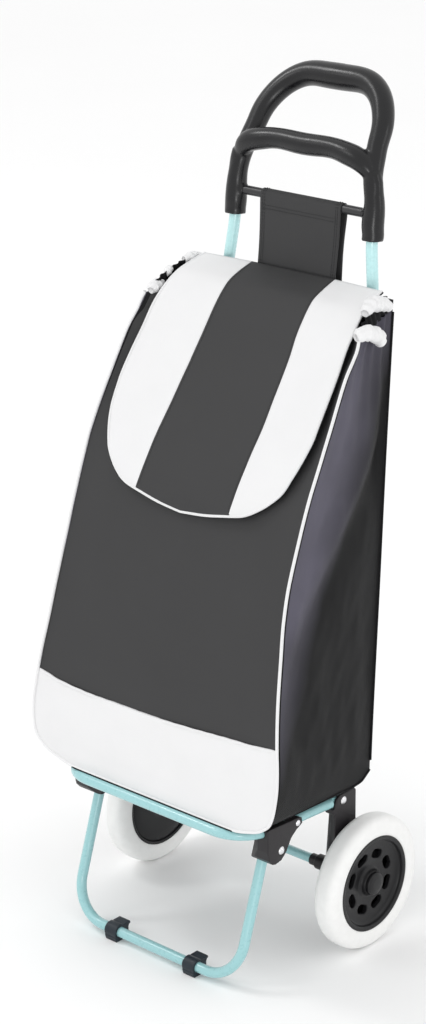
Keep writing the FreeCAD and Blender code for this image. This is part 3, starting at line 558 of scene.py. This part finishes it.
# puckers running down from the seam
pk = np.sin(P2[..., 0] * 0.31 + 1.2 * np.sin(P2[..., 0] * 0.07)) * np.exp(-np.abs(seam_z(P2[..., 0]) - P2[..., 2]) / 9.0) * 0.28
P2[..., 1] += pk * (1 - keep)
band = surface("bag_band", P2, thick=1.6)
thickness_material(band, "white", "lining", "white")


# ---------------------------------------------------------------- sides
def rim_zf(t):
    """Level at which the side's top edge lies, at share t from front to back."""
    return 712.0 - 4.0 * sm(0.05, 0.6, t) - 4.0 * sm(0.55, 1.0, t)


def level_pt(t, zf):
    wf, yf = fW(zf), fY(zf)
    zr = rz(zf)
    wr, yr = bw(zr), up_y(zr) - 7.4
    return np.stack(np.broadcast_arrays(wf + (wr - wf) * t, yf + (yr - yf) * t, zf + (zr - zf) * t), -1)


ts = np.concatenate([np.linspace(0, 0.12, 9)[:-1], np.linspace(0.12, 0.9, 44)[:-1], np.linspace(0.9, 1, 9)])
rows = 130
S = np.zeros((len(ts), rows, 3))
for i, t in enumerate(ts):
    a, b = 160.0, 330.0
    for _ in range(40):
        m_ = (a + b) / 2
        q = level_pt(t, m_)
        if q[2] < edge_z(q[1]):
            a = m_
        else:
            b = m_
    z0, z1 = b, float(rim_zf(t))
    S[i] = level_pt(t, z0 + (z1 - z0) * np.linspace(0, 1, rows))
SIDE_UV = grid_uv(S)
T = np.broadcast_to(ts[:, None], S.shape[:2])
V = np.broadcast_to(np.linspace(0, 1, rows)[None, :], S.shape[:2])
side_wave = waves(8, 14, 45, 220)
side_small = waves(9, 16, 14, 50)


def side_relief(S, seed):
    """A gusset that is not stretched: one long diagonal fold, vertical drapes and small creases at the top."""
    z = S[..., 2]
    edge = (np.clip(T / 0.10, 0, 1) * np.clip((1 - T) / 0.06, 0, 1)) ** 0.8
    foot = sm(0.0, 0.10, V)
    line = 0.05 + 0.72 * sm(330, 640, z) + 0.10 * np.sin(z * 0.012 + seed)
    k = T - line
    # ridge in front of the line, hollow behind it
    d = 5.2 * np.exp(-((k + 0.07) / 0.16) ** 2) - 5.0 * np.exp(-((k - 0.17) / 0.17) ** 2)
    d = d * sm(250, 420, z)
    top = sm(560, 700, z)
    d = d * (1 - 0.45 * top) - 3.5 * top * np.sin(math.pi * T)
    # creases that run down from the gathered mouth
    cr = np.sin(T * 34 + 0.018 * z + seed) * np.exp(-(712 - z) / 60.0) * 1.7
    d = d + cr + 1.0 * side_wave(S * np.array([1, 1.6, 0.45])) + 0.35 * side_small(S * np.array([1, 1.3, 0.7]))
    d = d + 2.2 * sm(0.0, 0.35, V) * np.sin(math.pi * T) * (1 - top)
    out = S.copy()
    out[..., 0] += d * edge * foot
    return out


sides = []
for sgn, seed, tag in ((1, 0.3, "right"), (-1, 2.1, "left")):
    Q = side_relief(S, seed)
    Q[..., 0] *= sgn
    o = surface("gusset_" + tag, Q, flip=(sgn < 0), thick=1.4, uv=SIDE_UV)
    thickness_material(o, "gusset", "lining", "gusset")
    sides.append(o)

# ---------------------------------------------------------------- back
ub = np.linspace(-1, 1, 70)
rows = 110
P = np.zeros((len(ub), rows, 3))
for j, s in enumerate(np.linspace(0, 1, rows)):
    z = 217.0 + (741.0 - 217.0) * s
    P[:, j, 0] = ub * bw(z)
    P[:, j, 1] = up_y(z) - 7.4 - 3.4 * (1 - np.abs(ub) ** 4) * sm(0, 0.12, s) * (1 - 0.8 * sm(0.9, 1, s))
    P[:, j, 2] = z - 2.5 * (np.abs(ub) ** 3) * sm(0.85, 1, s)
U = np.broadcast_to(ub[:, None], P.shape[:2])
n = normals(P)
d = np.minimum(1.0 * front_wave(P * np.array([1.3, 1, 0.6]) + 90) + 0.35 * small_wave(P), 2.4)
P = P - np.array([0, 1, 0]) * ((np.abs(d)) * (1 - U ** 8))[..., None]
back = surface("bag_back", P, flip=True, thick=1.4)
thickness_material(back, "charcoal", "lining", "charcoal")

# ---------------------------------------------------------------- base
edge_line = S[:, 0, :]                       # lower edge of the side, front to back
yb = np.linspace(edge_line[0, 1] + 4.0, edge_line[-1, 1], 60)
hw = np.interp(yb, edge_line[:, 1], edge_line[:, 0]) - 0.3
P = np.zeros((40, len(yb), 3))
for i, uu in enumerate(np.linspace(-1, 1, 40)):
    P[i, :, 0], P[i, :, 1] = uu * hw, yb
    P[i, :, 2] = base_z(yb) + 0.35 + (np.interp(yb, edge_line[:, 1], edge_line[:, 2]) - base_z(yb) - 0.35) * abs(uu) ** 10
P[..., 2] += np.abs(0.5 * small_wave(P)) * (1 - np.abs(np.linspace(-1, 1, 40))[:, None] ** 6)
base = surface("bag_bottom_cloth", P, flip=True, thick=1.4)
thickness_material(base, "black", "lining", "black")

# ---------------------------------------------------------------- piping and hems
zz = np.concatenate([np.linspace(714, 690, 14)[:-1], np.linspace(690, 226, 110)[:-1], np.linspace(226, 199, 26)])
corner = np.stack([fW(zz) + 0.9, fY(zz) - 0.9, zz], 1)
corner[:, 0] += 1.0 * np.exp(-((zz - 705) / 7.0) ** 2)
bottom = [(x, -178.6, 198.4 + 0.0 * x) for x in np.linspace(121, 0, 36)[1:]]
half = np.vstack([corner, bottom])
full = np.vstack([half, half[:-1][::-1] * np.array([-1, 1, 1])])
full = even(full, 620)
pipe = tube("bag_piping", full, 1.75, sides=10)
paint(pipe, "binding")
# dark strips on the gusset: one along its rear edge, one just behind the white piping
hems = []
for sgn in (1, -1):
    q = S[-1, 3:-1].copy()
    q[:, 0] = (q[:, 0] + 0.6) * sgn
    q[:, 1] += 0.1
    hems.append(tube("h", even(q, 150), 1.35, sides=8))
    q = S[2, 6:-1].copy()
    q = S[0, 4:-1].copy()
    q[:, 0] = (q[:, 0] + 0.4) * sgn
    q[:, 1] += 3.4
    hems.append(tube("h", even(q, 170), 1.0, sides=8))
q = S[:, 0, :].copy()
for sgn in (1, -1):
    w = q.copy()
    w[:, 0] = (w[:, 0] + 0.2) * sgn
    w[:, 2] += 0.6
    hems.append(tube("h", even(w[2:], 90), 1.1, sides=8))
# thin dark strip along the band's lower edge, in the crease above the tube
hems.append(tube("h", even(np.array([(x, -180.5, 197.55 + 0.00045 * max(0.0, abs(x) - 95.0) ** 2) for x in np.linspace(-121, 121, 60)]), 160), 0.75, sides=8))
hem = join("bag_hems", hems)
paint(hem, "deep")


# ---------------------------------------------------------------- flap
FL = [(66.0, 746.5), (60.3, 744.9), (43.5, 739.4), (28.4, 732.7), (17.3, 722.8), (7.9, 712.0), (-0.5, 700.7), (-14.4, 678.2),
      (-30.5, 655.3), (-46.4, 634.0), (-62.9, 611.4), (-80.5, 589.5), (-96.0, 568.2), (-111.0, 545.0), (-119.0, 530.0), (-122.0, 517.0)]
FL = np.array(FL)[:, ::1]
line = spline(np.column_stack([np.zeros(len(FL)), FL]), 400)[:, 1:]
ls = np.concatenate([[0], np.cumsum(np.linalg.norm(np.diff(line, axis=0), axis=1))])
fE = pch([550, 563, 578, 591, 604, 617, 632, 657, 671, 684, 698, 735, 746.5], [0, 1, 4.5, 6.8, 8.8, 9.8, 11.5, 12.5, 12.2, 11.9, 11.4, 5.4, 3.5])
FW = pch([519, 522, 527, 533, 541, 551, 562.7, 578, 591, 604, 617, 631.7, 657, 684, 711.2, 724.4, 735, 743.4, 746.5],
         [0, 30, 58, 86, 102, 115.4, 126, 132.6, 137.1, 140.3, 142.1, 142.5, 141.8, 140, 137.8, 135.5, 132, 128.1, 126.5])
stripe = pch([510, 545, 568, 600, 644, 678, 700, 722, 739, 746.5], [68.4, 67.8, 67.4, 67.4, 65.7, 63.7, 62, 61.3, 60.3, 59.8])


def flap_yz(x, s):
    """Line of the flap at share s of arc length (mm), moved forward at the sides."""
    y, z = np.interp(s, ls, line[:, 0]), np.interp(s, ls, line[:, 1])
    k = (x * x - 64.0 ** 2) / (140.0 ** 2 - 64.0 ** 2)
    return y - fE(z) * k, z


def s_at_z(z):
    return np.interp(-z, -line[:, 1], ls)


def bottom_z(x):
    """Height of the flap's lower edge at x."""
    zs_ = np.linspace(519, 632, 300)
    return np.interp(np.abs(x), FW(zs_), zs_)


flap_wave = waves(21, 10, 60, 200)
flap_small = waves(22, 14, 18, 60)


def flap_grid(X, Sx):
    y, z = flap_yz(X, Sx)
    P = np.stack([X, y, z], -1)
    n = normals(P)
    if n[..., 1].mean() > 0:
        n = -n
    fade = sm(0, 40, Sx)
    P = P + n * (1.5 + fade * (0.5 * flap_wave(P) + 0.14 * flap_small(P)))[..., None]
    return P


nv = 110
vs = np.linspace(0, 1, nv)
uc = np.linspace(-1, 1, 60)
X = np.zeros((len(uc), nv))
SS = np.zeros_like(X)
for i, uu in enumerate(uc):
    sb = s_at_z(bottom_z(uu * 68.0))
    s_ = vs * sb
    z_ = np.interp(s_, ls, line[:, 1])
    X[i], SS[i] = uu * stripe(z_), s_
centre = flap_grid(X, SS)
fc = surface("flap_stripe", centre, flip=True, thick=1.7)
thickness_material(fc, "charcoal", "lining", "charcoal")

# outline of the flap from its rear corner down to the lower corner of the stripe
z_top = 746.3
oz = np.concatenate([np.linspace(z_top, 632, 140), 632 - (632 - bottom_z(68.0)) * np.linspace(0, 1, 140)[1:] ** 1.0])
outer = np.stack([FW(oz), s_at_z(oz)], 1)
inner = np.stack([X[-1], SS[-1]], 1)
outer = even(outer, nv)
inner_e = even(inner, nv)
flap_sides = []
ua = np.linspace(0, 1, 44)
for sgn, tag in ((1, "right"), (-1, "left")):
    G = inner_e[None] * (1 - ua)[:, None, None] + outer[None] * ua[:, None, None]
    P = flap_grid(G[..., 0], G[..., 1])
    P[..., 0] *= sgn
    o = surface("flap_white_" + tag, P, flip=(sgn > 0), thick=1.6)
    thickness_material(o, "white", "lining", "white")
    flap_sides.append(o)

# binding along the flap's free edge, all the way round
ob = np.concatenate([oz, bottom_z(np.linspace(68, 0, 60)[1:])])
oxs = np.concatenate([FW(oz), np.linspace(68, 0, 60)[1:]])
osz = s_at_z(ob)
y_, z_ = flap_yz(oxs, osz)
eh = np.stack([oxs, y_, z_], 1)
edge_pts = np.vstack([eh, eh[:-1][::-1] * np.array([-1, 1, 1])])
edge_pts = even(edge_pts, 420)
tang = np.gradient(edge_pts, axis=0)
nrm = np.zeros_like(edge_pts)
# outward normal of the flap is forward and up
for i, p in enumerate(edge_pts):
    s0 = s_at_z(p[2])
    a, b = np.interp([s0 - 4, s0 + 4], ls, line[:, 0]), np.interp([s0 - 4, s0 + 4], ls, line[:, 1])
    d_ = np.array([0, a[1] - a[0], b[1] - b[0]])
    v = np.cross(d_, (1, 0, 0))
    v = v / np.linalg.norm(v)
    nrm[i] = v if v[1] < 0 or v[2] > 0 else -v
FN = nrm
bind = tube("flap_binding", edge_pts + FN * 0.9, 1.55, sides=10)
paint(bind, "binding")
out_dir = np.cross(tang, FN)
out_dir /= np.linalg.norm(out_dir, axis=1)[:, None]
mid = edge_pts.mean(0)
if ((edge_pts[210] - mid) @ out_dir[210]) < 0:
    out_dir = -out_dir
# painted shadow: a thin dark cord just outside the flap's edge, where the shade line under the edge falls
under = tube("flap_edge_shadow_line", edge_pts - FN * 0.5 + out_dir * 1.25, 1.0, sides=8)
paint(under, "deep")


# ---------------------------------------------------------------- stitches
def stitches(name, p, nrm_, key, step=3.4, size=2.3, r=0.28, lift=0.15):
    p = np.array(p, float)
    L = length(p)
    n_ = max(2, int(L / step))
    q = even(np.hstack([p, nrm_]), n_ * 4 + 1)
    vs_, fs_ = [], []
    for k in range(n_):
        a, b = q[4 * k, :3], q[4 * k + 2, :3]
        nn = q[4 * k + 1, 3:]
        nn = nn / np.linalg.norm(nn)
        t = (b - a) / max(np.linalg.norm(b - a), 1e-9)
        side = np.cross(t, nn)
        c0 = (a + b) / 2 + nn * lift
        half_ = size / 2
        ring = []
        for w_, h_ in ((-1, 0.35), (-0.55, 1.0), (0.55, 1.0), (1, 0.35)):
            cc = c0 + t * half_ * w_ + nn * (r * 0.6 * (h_ - 0.6))
            for an in range(6):
                ang = an * math.pi / 3
                ring.append(cc + side * math.cos(ang) * r * h_ + nn * math.sin(ang) * r * h_)
        base_i = len(vs_)
        vs_ += ring
        for i_ in range(3):
            for j_ in range(6):
                A, B = base_i + i_ * 6 + j_, base_i + i_ * 6 + (j_ + 1) % 6
                fs_.append((A, B, B + 6, A + 6))
        fs_.append(tuple(base_i + j_ for j_ in range(6))[::-1])
        fs_.append(tuple(base_i + 18 + j_ for j_ in range(6)))
    o = obj(name, vs_, fs_)
    paint(o, key)
    return o


xs = np.linspace(-172, 172, 160)
z_s = seam_z(xs) - 3.2
q = np.stack([xs, fY(z_s) - 0.95, z_s], 1)
nn = np.tile([0, -1.0, 0.05], (len(q), 1))
st_band = stitches("stitch_band", q, nn, "thread_light")
st_flap = []
for sgn in (1, -1):
    m_ = nv
    a = centre[-1 if sgn > 0 else 0]
    b = centre[-3 if sgn > 0 else 2]
    dirn = (b - a) / np.maximum(np.linalg.norm(b - a, axis=1), 1e-9)[:, None]
    nn = normals(centre)[-2 if sgn > 0 else 1]
    if nn[50][1] > 0:
        nn = -nn
    st_flap.append(stitches("s", (a + dirn * 2.6)[2:-2], nn[2:-2], "thread_dark"))
k0, k1 = 6, len(edge_pts) - 6
st_flap.append(stitches("s", (edge_pts + FN * 2.25 - out_dir * 0.2)[k0:k1], FN[k0:k1], "thread_light", step=3.0, size=2.0, r=0.24, lift=0.1))
for o in st_flap[2:]:
    pass
st_edge = st_flap[2]
st_edge.name = "stitch_flap_edge"
st_seam = join("stitch_flap_seams", st_flap[:2])

# ---------------------------------------------------------------- hanging strap
HB = np.array([84.0, 822.0])
nb = np.array([math.cos(math.radians(5.5)), -math.sin(math.radians(5.5))])
nu_ = np.array([math.sin(math.radians(5.5)), math.cos(math.radians(5.5))])
RO = 6.5
prof = []
LEG = 84.0
for s in np.linspace(0, 1, 46)[:-1]:          # front layer, from below up to the bar
    dpt = LEG * (1 - s)
    prof.append(HB - nb * (RO - 1.0 * math.sin(math.pi * s) ** 2) - nu_ * dpt)
for a in np.linspace(math.pi, 0, 22):
    prof.append(HB + nb * RO * math.cos(a) + nu_ * RO * math.sin(a))
for s in np.linspace(0, 1, 46)[1:]:
    prof.append(HB + nb * (RO - 1.8 * math.sin(math.pi * s) ** 2) - nu_ * LEG * s)
prof = np.array(prof)
xs = np.linspace(-1, 1, 50)
P = np.zeros((len(xs), len(prof), 3))
depth = np.abs(((prof - HB) @ nu_))
for i, xx in enumerate(xs):
    P[i, :, 0] = xx * (57.0 - 1.6 * sm(0, 84, depth))
    P[i, :, 1], P[i, :, 2] = prof[:, 0], prof[:, 1]
n = normals(P)
w = waves(31, 10, 30, 110)
P = P + n * ((0.35 * w(P)) * sm(4, 20, depth)[None, :])[..., None]
strap = surface("hanging_strap", P, thick=1.2)
nn = normals(P)
if (nn[25, 10, 1] > 0):
    for p_ in strap.data.polygons:
        pass
thickness_material(strap, "charcoal", "charcoal", "charcoal")
ss = []
for xx in (-53.4, 53.4, -50.6, 50.6):
    q = np.stack([np.full(len(prof), xx) * (1 - 0.028 * sm(0, 84, depth)), prof[:, 0], prof[:, 1]], 1)
    tt = np.gradient(prof, axis=0)
    nn_ = np.stack([np.zeros(len(prof)), -tt[:, 1], tt[:, 0]], 1)
    nn_ /= np.linalg.norm(nn_, axis=1)[:, None]
    ss.append(stitches("s", q[:60] + nn_[:60] * 0.15, nn_[:60], "thread_dark"))
for dz in (12.0, 15.5):
    k = np.argmin(np.abs(depth[:45] - dz))
    xq = np.linspace(-53, 53, 60)
    q = np.stack([xq, np.full(60, prof[k, 0]), np.full(60, prof[k, 1])], 1)
    ss.append(stitches("s", q + np.array([0, -nb[0], -nb[1]]) * 0.15, np.tile([0, -nb[0], -nb[1]], (60, 1)), "thread_dark"))
st_strap = join("stitch_strap", ss)

# ---------------------------------------------------------------- gathered collar and its white casing
def pleated(name, p_low, p_top, count, depth_, n=260, rows=9, key="deep", phase=0.0):
    a, b = even(np.array(p_low, float), n), even(np.array(p_top, float), n)
    G = np.zeros((n, rows, 3))
    s = np.linspace(0, 1, n)
    t = np.gradient(a, axis=0)
    t /= np.linalg.norm(t, axis=1)[:, None]
    for j in range(rows):
        v = j / (rows - 1)
        G[:, j] = a * (1 - v) + b * v
        out = np.cross(t, (0, 0, 1.0))
        out /= np.linalg.norm(out, axis=1)[:, None]
        wv = np.sin(2 * math.pi * count * s + phase + 1.3 * np.sin(7 * s + 0.8 * v)) * (0.35 + 0.65 * v) * depth_
        G[:, j] += out * wv[:, None]
    o = surface(name, G, thick=0.9)
    thickness_material(o, key, key, key)
    return o


rim_low, rim_top = [], []
side_top = [(149.5, -4.0, 711.5, 718.0), (148.0, 8.0, 714.0, 728.0), (145.0, 22.0, 718.0, 735.0), (142.0, 38.0, 721.5, 741.0), (139.0, 52.0, 724.5, 742.5), (136.5, 62.5, 727.5, 742.5)]
back_top = [(120.0, 63.6, 733.0, 742.0), (70.0, 63.6, 733.0, 742.5), (0.0, 63.6, 733.0, 742.5)]
for x, y, a, b in side_top + back_top:
    rim_low.append((x, y, a))
    rim_top.append((x - 1.5, y - 0.6, b))
low = spline(rim_low, 160)
top = spline(rim_top, 160)
mirror = np.array([-1, 1, 1])
low_all = np.vstack([low, low[:-1][::-1] * mirror])
top_all = np.vstack([top, top[:-1][::-1] * mirror])
collar = pleated("collar_gathers", low_all, top_all, 44, 1.6, n=700)


def puffy(name, pts, radii, count, amp, seed, n=150, sides=22, flat=1.0, key="binding"):
    """Bunched casing: a soft tube with gathers across it."""
    p = spline(pts, n)
    rr = pch(np.linspace(0, 1, len(radii)), radii)(np.linspace(0, 1, n))
    g = np.random.default_rng(seed)
    ph = g.uniform(0, 6.28, 6)
    s = np.linspace(0, 1, n)
    wv = waves(seed, 12, 5, 16)

    def bp(ring):
        gat = np.sin(2 * math.pi * count * s + ph[0] + 0.9 * np.sin(9 * s + ph[1]))[:, None] * amp
        return gat * 0.8 + 0.09 * wv(ring)
    o = tube(name, p, rr, sides=sides, flat=flat, bump=bp)
    paint(o, key)
    return o


cas = []
# right side: drooping lobe over the front corner, then the bunched casing up to the back corner
cas.append(puffy("c", [(149.5, -9.0, 716.0), (152.5, 0.0, 719.5), (153.5, 12.0, 717.0), (152.5, 23.0, 711.5), (151.5, 31.0, 703.0)], [6.0, 7.6, 8.2, 7.8, 6.4], 4, 0.05, 5, n=90, flat=1.05))
cas.append(puffy("c", [(144.0, 12.0, 737.0), (141.5, 24.0, 742.0), (139.0, 38.0, 741.0), (137.5, 52.0, 736.5), (136.5, 62.0, 732.0)], [5.0, 7.5, 8.8, 8.2, 5.5], 7, 0.08, 6, n=120))
# left side: small bunches with the black collar showing between them
cas.append(puffy("c", [(-147.0, -6.0, 714.0), (-149.5, 2.0, 716.5), (-149.5, 10.0, 717.5), (-147.5, 15.0, 722.0)], [4.0, 8.0, 8.0, 3.5], 3, 0.08, 7, n=80))
cas.append(puffy("c", [(-147.0, 17.0, 727.0), (-145.0, 22.0, 733.0), (-143.5, 25.0, 735.5)], [3.0, 5.0, 3.0], 2, 0.07, 8, n=50))
cas.append(puffy("c", [(-141.0, 42.0, 741.0), (-139.0, 50.0, 742.0), (-137.5, 60.0, 741.5), (-130.0, 64.0, 741.5)], [4.0, 6.8, 6.0, 3.0], 5, 0.08, 9, n=90))
casing = join("bag_casing", cas)

# ---------------------------------------------------------------- handle
ex = []
for sgn in (1, -1):
    # the middle bar's ends run down into the prongs
    ex.append(tube("e", [(sgn * x, y, z) for x, y, z in [(94.0, 86.4, 866.0), (96.6, 86.6, 857.0), (97.6, 85.8, 846.0), (97.8, 85.6, 836.0), (97.8, 84.6, 822.0), (97.8, 83.2, 810.0)]],
                   [8.8, 9.2, 9.6, 9.4, 9.0, 8.0], sides=20))
    # boss where the hanger bar enters
    ex.append(tube("e", [(sgn * 84.5, 84.0, 822.0), (sgn * 88.0, 84.0, 822.0), (sgn * 96.0, 84.0, 822.0)], [6.8, 7.6, 9.5], sides=20, up=(0, 0, 1)))
for o in ex:
    o.data.uv_layers.remove(o.data.uv_layers[0])
handle = moulded("handle", ["handle_grip"], 1.25, smooth=9, ratio=0.5, extra=ex)
paint(handle, "handle")


# ---------------------------------------------------------------- wheels
def lathe(name, prof_, sides=128, x_sign=1):
    """Turn (x, radius) about the axle."""
    p_ = np.array(prof_, float)
    a_ = np.linspace(0, 2 * math.pi, sides, endpoint=False)
    G = np.stack(np.broadcast_arrays(p_[None, :, 0] * x_sign, (p_[None, :, 1] * np.cos(a_)[:, None]), 79.0 + p_[None, :, 1] * np.sin(a_)[:, None]), -1)
    fcs = grid_faces(sides, len(p_), True, True)
    if x_sign > 0:
        fcs = [q[::-1] for q in fcs]
    return obj(name, G.reshape(-1, 3), fcs)


tyre_prof = []
xm, hwid = 161.5, 14.5
for k in range(0, 49):
    a = math.pi - math.pi * k / 48
    c, s = math.cos(a), math.sin(a)
    tyre_prof.append((xm + hwid * math.copysign(abs(c) ** 0.62, c), 64.5 + (79.0 - 64.5) * s ** 0.78))
outer_ring = [(xm - hwid + 1.6, 56.6), (xm - hwid + 0.8, 58.0), (xm - hwid + 0.25, 60.5)]
tyre_prof = outer_ring + tyre_prof + [(2 * xm - x, rr_) for x, rr_ in outer_ring[::-1]]
tyre_prof = np.array(tyre_prof)
# no moulding groove is cut: this loop leaves the profile unchanged
for sg in (-1, 1):
    tyre_prof[:, 0] += 0.0
wheel_pieces = {}
for sgn, tag in ((1, "right"), (-1, "left")):
    t_ = lathe("tyre_shape_" + tag, tyre_prof, 160, sgn)
    paint(t_, "foam")
    # closed inner side of the hub: a shallow dish behind the spokes
    dish = lathe("d", [(149.6, 13.0), (149.2, 24.0), (149.0, 40.0), (149.6, 50.0), (151.2, 54.5), (152.6, 54.5), (151.4, 49.5), (150.8, 40.0), (150.9, 24.0), (151.2, 13.0)], 96, sgn)
    dish.data.uv_layers.new(name="cloth") if not dish.data.uv_layers else None
    h_ = moulded("h", ["hub_" + tag], 0.75, smooth=3, ratio=0.35)
    for q_ in (h_, dish):
        while q_.data.uv_layers:
            q_.data.uv_layers.remove(q_.data.uv_layers[0])
    h_ = join("hub_shape_" + tag, [h_, dish])
    h_.data.polygons.foreach_set("use_smooth", [True] * len(h_.data.polygons))
    paint(h_, "hub")
    cp = moulded("hub_cap_shape_" + tag, ["hub_cap_" + tag], 0.4, smooth=3, ratio=0.3)
    paint(cp, "hub")
    wheel_pieces[tag] = (t_, h_, cp)

# ---------------------------------------------------------------- brackets and clips
mould = {}
for n_ in ("rear_bracket_right", "rear_bracket_left", "front_bracket_right", "front_bracket_left"):
    mould[n_] = paint(moulded(n_ + "_moulding", [n_], 0.8, smooth=3, ratio=0.35), "mould")
for n_ in ("leg_clip_right", "leg_clip_left"):
    mould[n_] = paint(moulded(n_ + "_moulding", [n_], 0.5, smooth=3, ratio=0.3), "clip")

# ---------------------------------------------------------------- materials of the CAD parts that stay
# the uprights take the lighter teal copy, which is painted light
for n_, k in {"upright_left": "teal_painted_lighter", "upright_right": "teal_painted_lighter", "platform_tube": "teal", "leg_tube": "teal", "axle_tube": "teal", "catch_bar": "teal",
              "axle_sleeves": "mould", "hanger_bar": "bar", "handle_screws": "steel", "axle_rod": "steel", "axle_washers": "steel", "axle_push_nuts": "steel",
              "platform_rivets": "steel", "leg_rivets": "steel", "bracket_rivets": "steel", "base_board": "board"}.items():
    for s_i in range(max(1, len(N[n_].material_slots))):
        if not N[n_].data.materials:
            N[n_].data.materials.append(M[k])
        N[n_].material_slots[s_i].material = M[k]
    for p_ in N[n_].data.polygons:
        p_.use_smooth = True

# =====================================================================  bodies
soft = [front, band, sides[0], sides[1], back, base, pipe, hem, collar, casing, st_band]
for o in soft:
    for m_ in [m for m in o.modifiers if m.type != "SOLIDIFY"]:
        pass
    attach(o, "frame")
    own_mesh(o)
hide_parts("bag_front_panel")
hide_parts("bag_front_band")
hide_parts("bag_side_right")
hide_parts("bag_side_left")
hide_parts("bag_back_panel")
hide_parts("bag_base")
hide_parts("piping_left", "piping_right")
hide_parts("bag_collar")

flap_all = [fc, flap_sides[0], flap_sides[1], bind, under, st_edge, st_seam]
for o in flap_all:
    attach(o, "flap")
    # lies a little in front of the flattened bag
    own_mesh(o)
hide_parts("flap_center")
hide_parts("flap_side_right")
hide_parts("flap_side_left")

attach(strap, "frame")
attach(st_strap, "frame")
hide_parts("hanging_loop")
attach(handle, "frame")
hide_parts("handle_grip")
for tag, (t_, h_, cp) in wheel_pieces.items():
    for o, n_, s in ((t_, "tyre_", "white_foam"), (h_, "hub_", "hub_plastic"), (cp, "hub_cap_", "hub_plastic")):
        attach(o, "wheel_" + tag)
        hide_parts(n_ + tag)
for n_, o in mould.items():
    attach(o, "leg" if n_.startswith("leg") else ("platform" if n_.startswith("front") else "frame"))
    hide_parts(n_)


def flat_area(o):
    me = o.data
    return sum(p_.area for p_ in me.polygons)


def declare(o, w_, l_, area=None):
    print("AREA", o.name, round(flat_area(o), 4), "of", w_ * l_, area)


declare(front, 0.357, 0.470, area=0.1520)
declare(band, 0.363, 0.123, area=0.0405)
declare(sides[0], 0.201, 0.559, area=0.0861)
declare(sides[1], 0.201, 0.559, area=0.0861)
declare(back, 0.303, 0.527)
declare(base, 0.312, 0.200)
declare(collar, 0.500, 0.0135)
declare(fc, 0.137, 0.297, area=0.0385)
declare(flap_sides[0], 0.081, 0.292, area=0.0205)
declare(flap_sides[1], 0.081, 0.292, area=0.0205)
declare(strap, 0.114, 0.190)

# =====================================================================  floor and light
bm = bmesh.new()
bmesh.ops.create_grid(bm, x_segments=24, y_segments=24, size=20)
fm = bpy.data.meshes.new("floor")
bm.to_mesh(fm)
floor = bpy.data.objects.new("floor", fm)
bpy.context.scene.collection.objects.link(floor)
mat, nt, b = material("pale_floor")
pos = nt.nodes.new("ShaderNodeTexCoord").outputs["Object"]
tint(nt, b, (0.96, 0.96, 0.96), ramp(nt, noise_node(nt, pos, 1.5, 2.0), 0.3, 0.7, 0.995, 1.005))
b.inputs["Roughness"].default_value = 0.9
b.inputs["Specular IOR Level"].default_value = 0.1
floor.data.materials.append(mat)

world = bpy.data.worlds.new("studio")
bpy.context.scene.world = world
world.use_nodes = True
world.node_tree.nodes["Background"].inputs[0].default_value = (1, 1, 1, 1)
world.node_tree.nodes["Background"].inputs[1].default_value = 1.0


def area_light(name, loc, target, size, energy, size_y=None):
    L = bpy.data.lights.new(name, "AREA")
    L.shape = "RECTANGLE"
    L.size, L.size_y = size, size_y or size
    L.energy = energy
    o = bpy.data.objects.new(name, L)
    bpy.context.scene.collection.objects.link(o)
    o.location = loc
    o.rotation_euler = (Vector(target) - Vector(loc)).to_track_quat("-Z", "Y").to_euler()
    return o


area_light("key", (-2.0, -3.2, 3.2), (0, 0, 0.5), 1.1, 12)
area_light("low_front", (2.3, -2.4, 0.45), (0, 0, 0.7), 0.55, 14)
area_light("side", (2.6, 0.9, 1.3), (0, 0, 0.55), 0.6, 4, 1.4)
area_light("top", (-2.05, -1.0, 3.1), (0, 0, 0.7), 0.6, 17)

sc = bpy.context.scene
sc.view_settings.view_transform = "Standard"
sc.view_settings.look = "None"
sc.view_settings.exposure = 0.0
sc.view_settings.gamma = 1.0

# ===================================================================== update
bpy.context.view_layer.update()
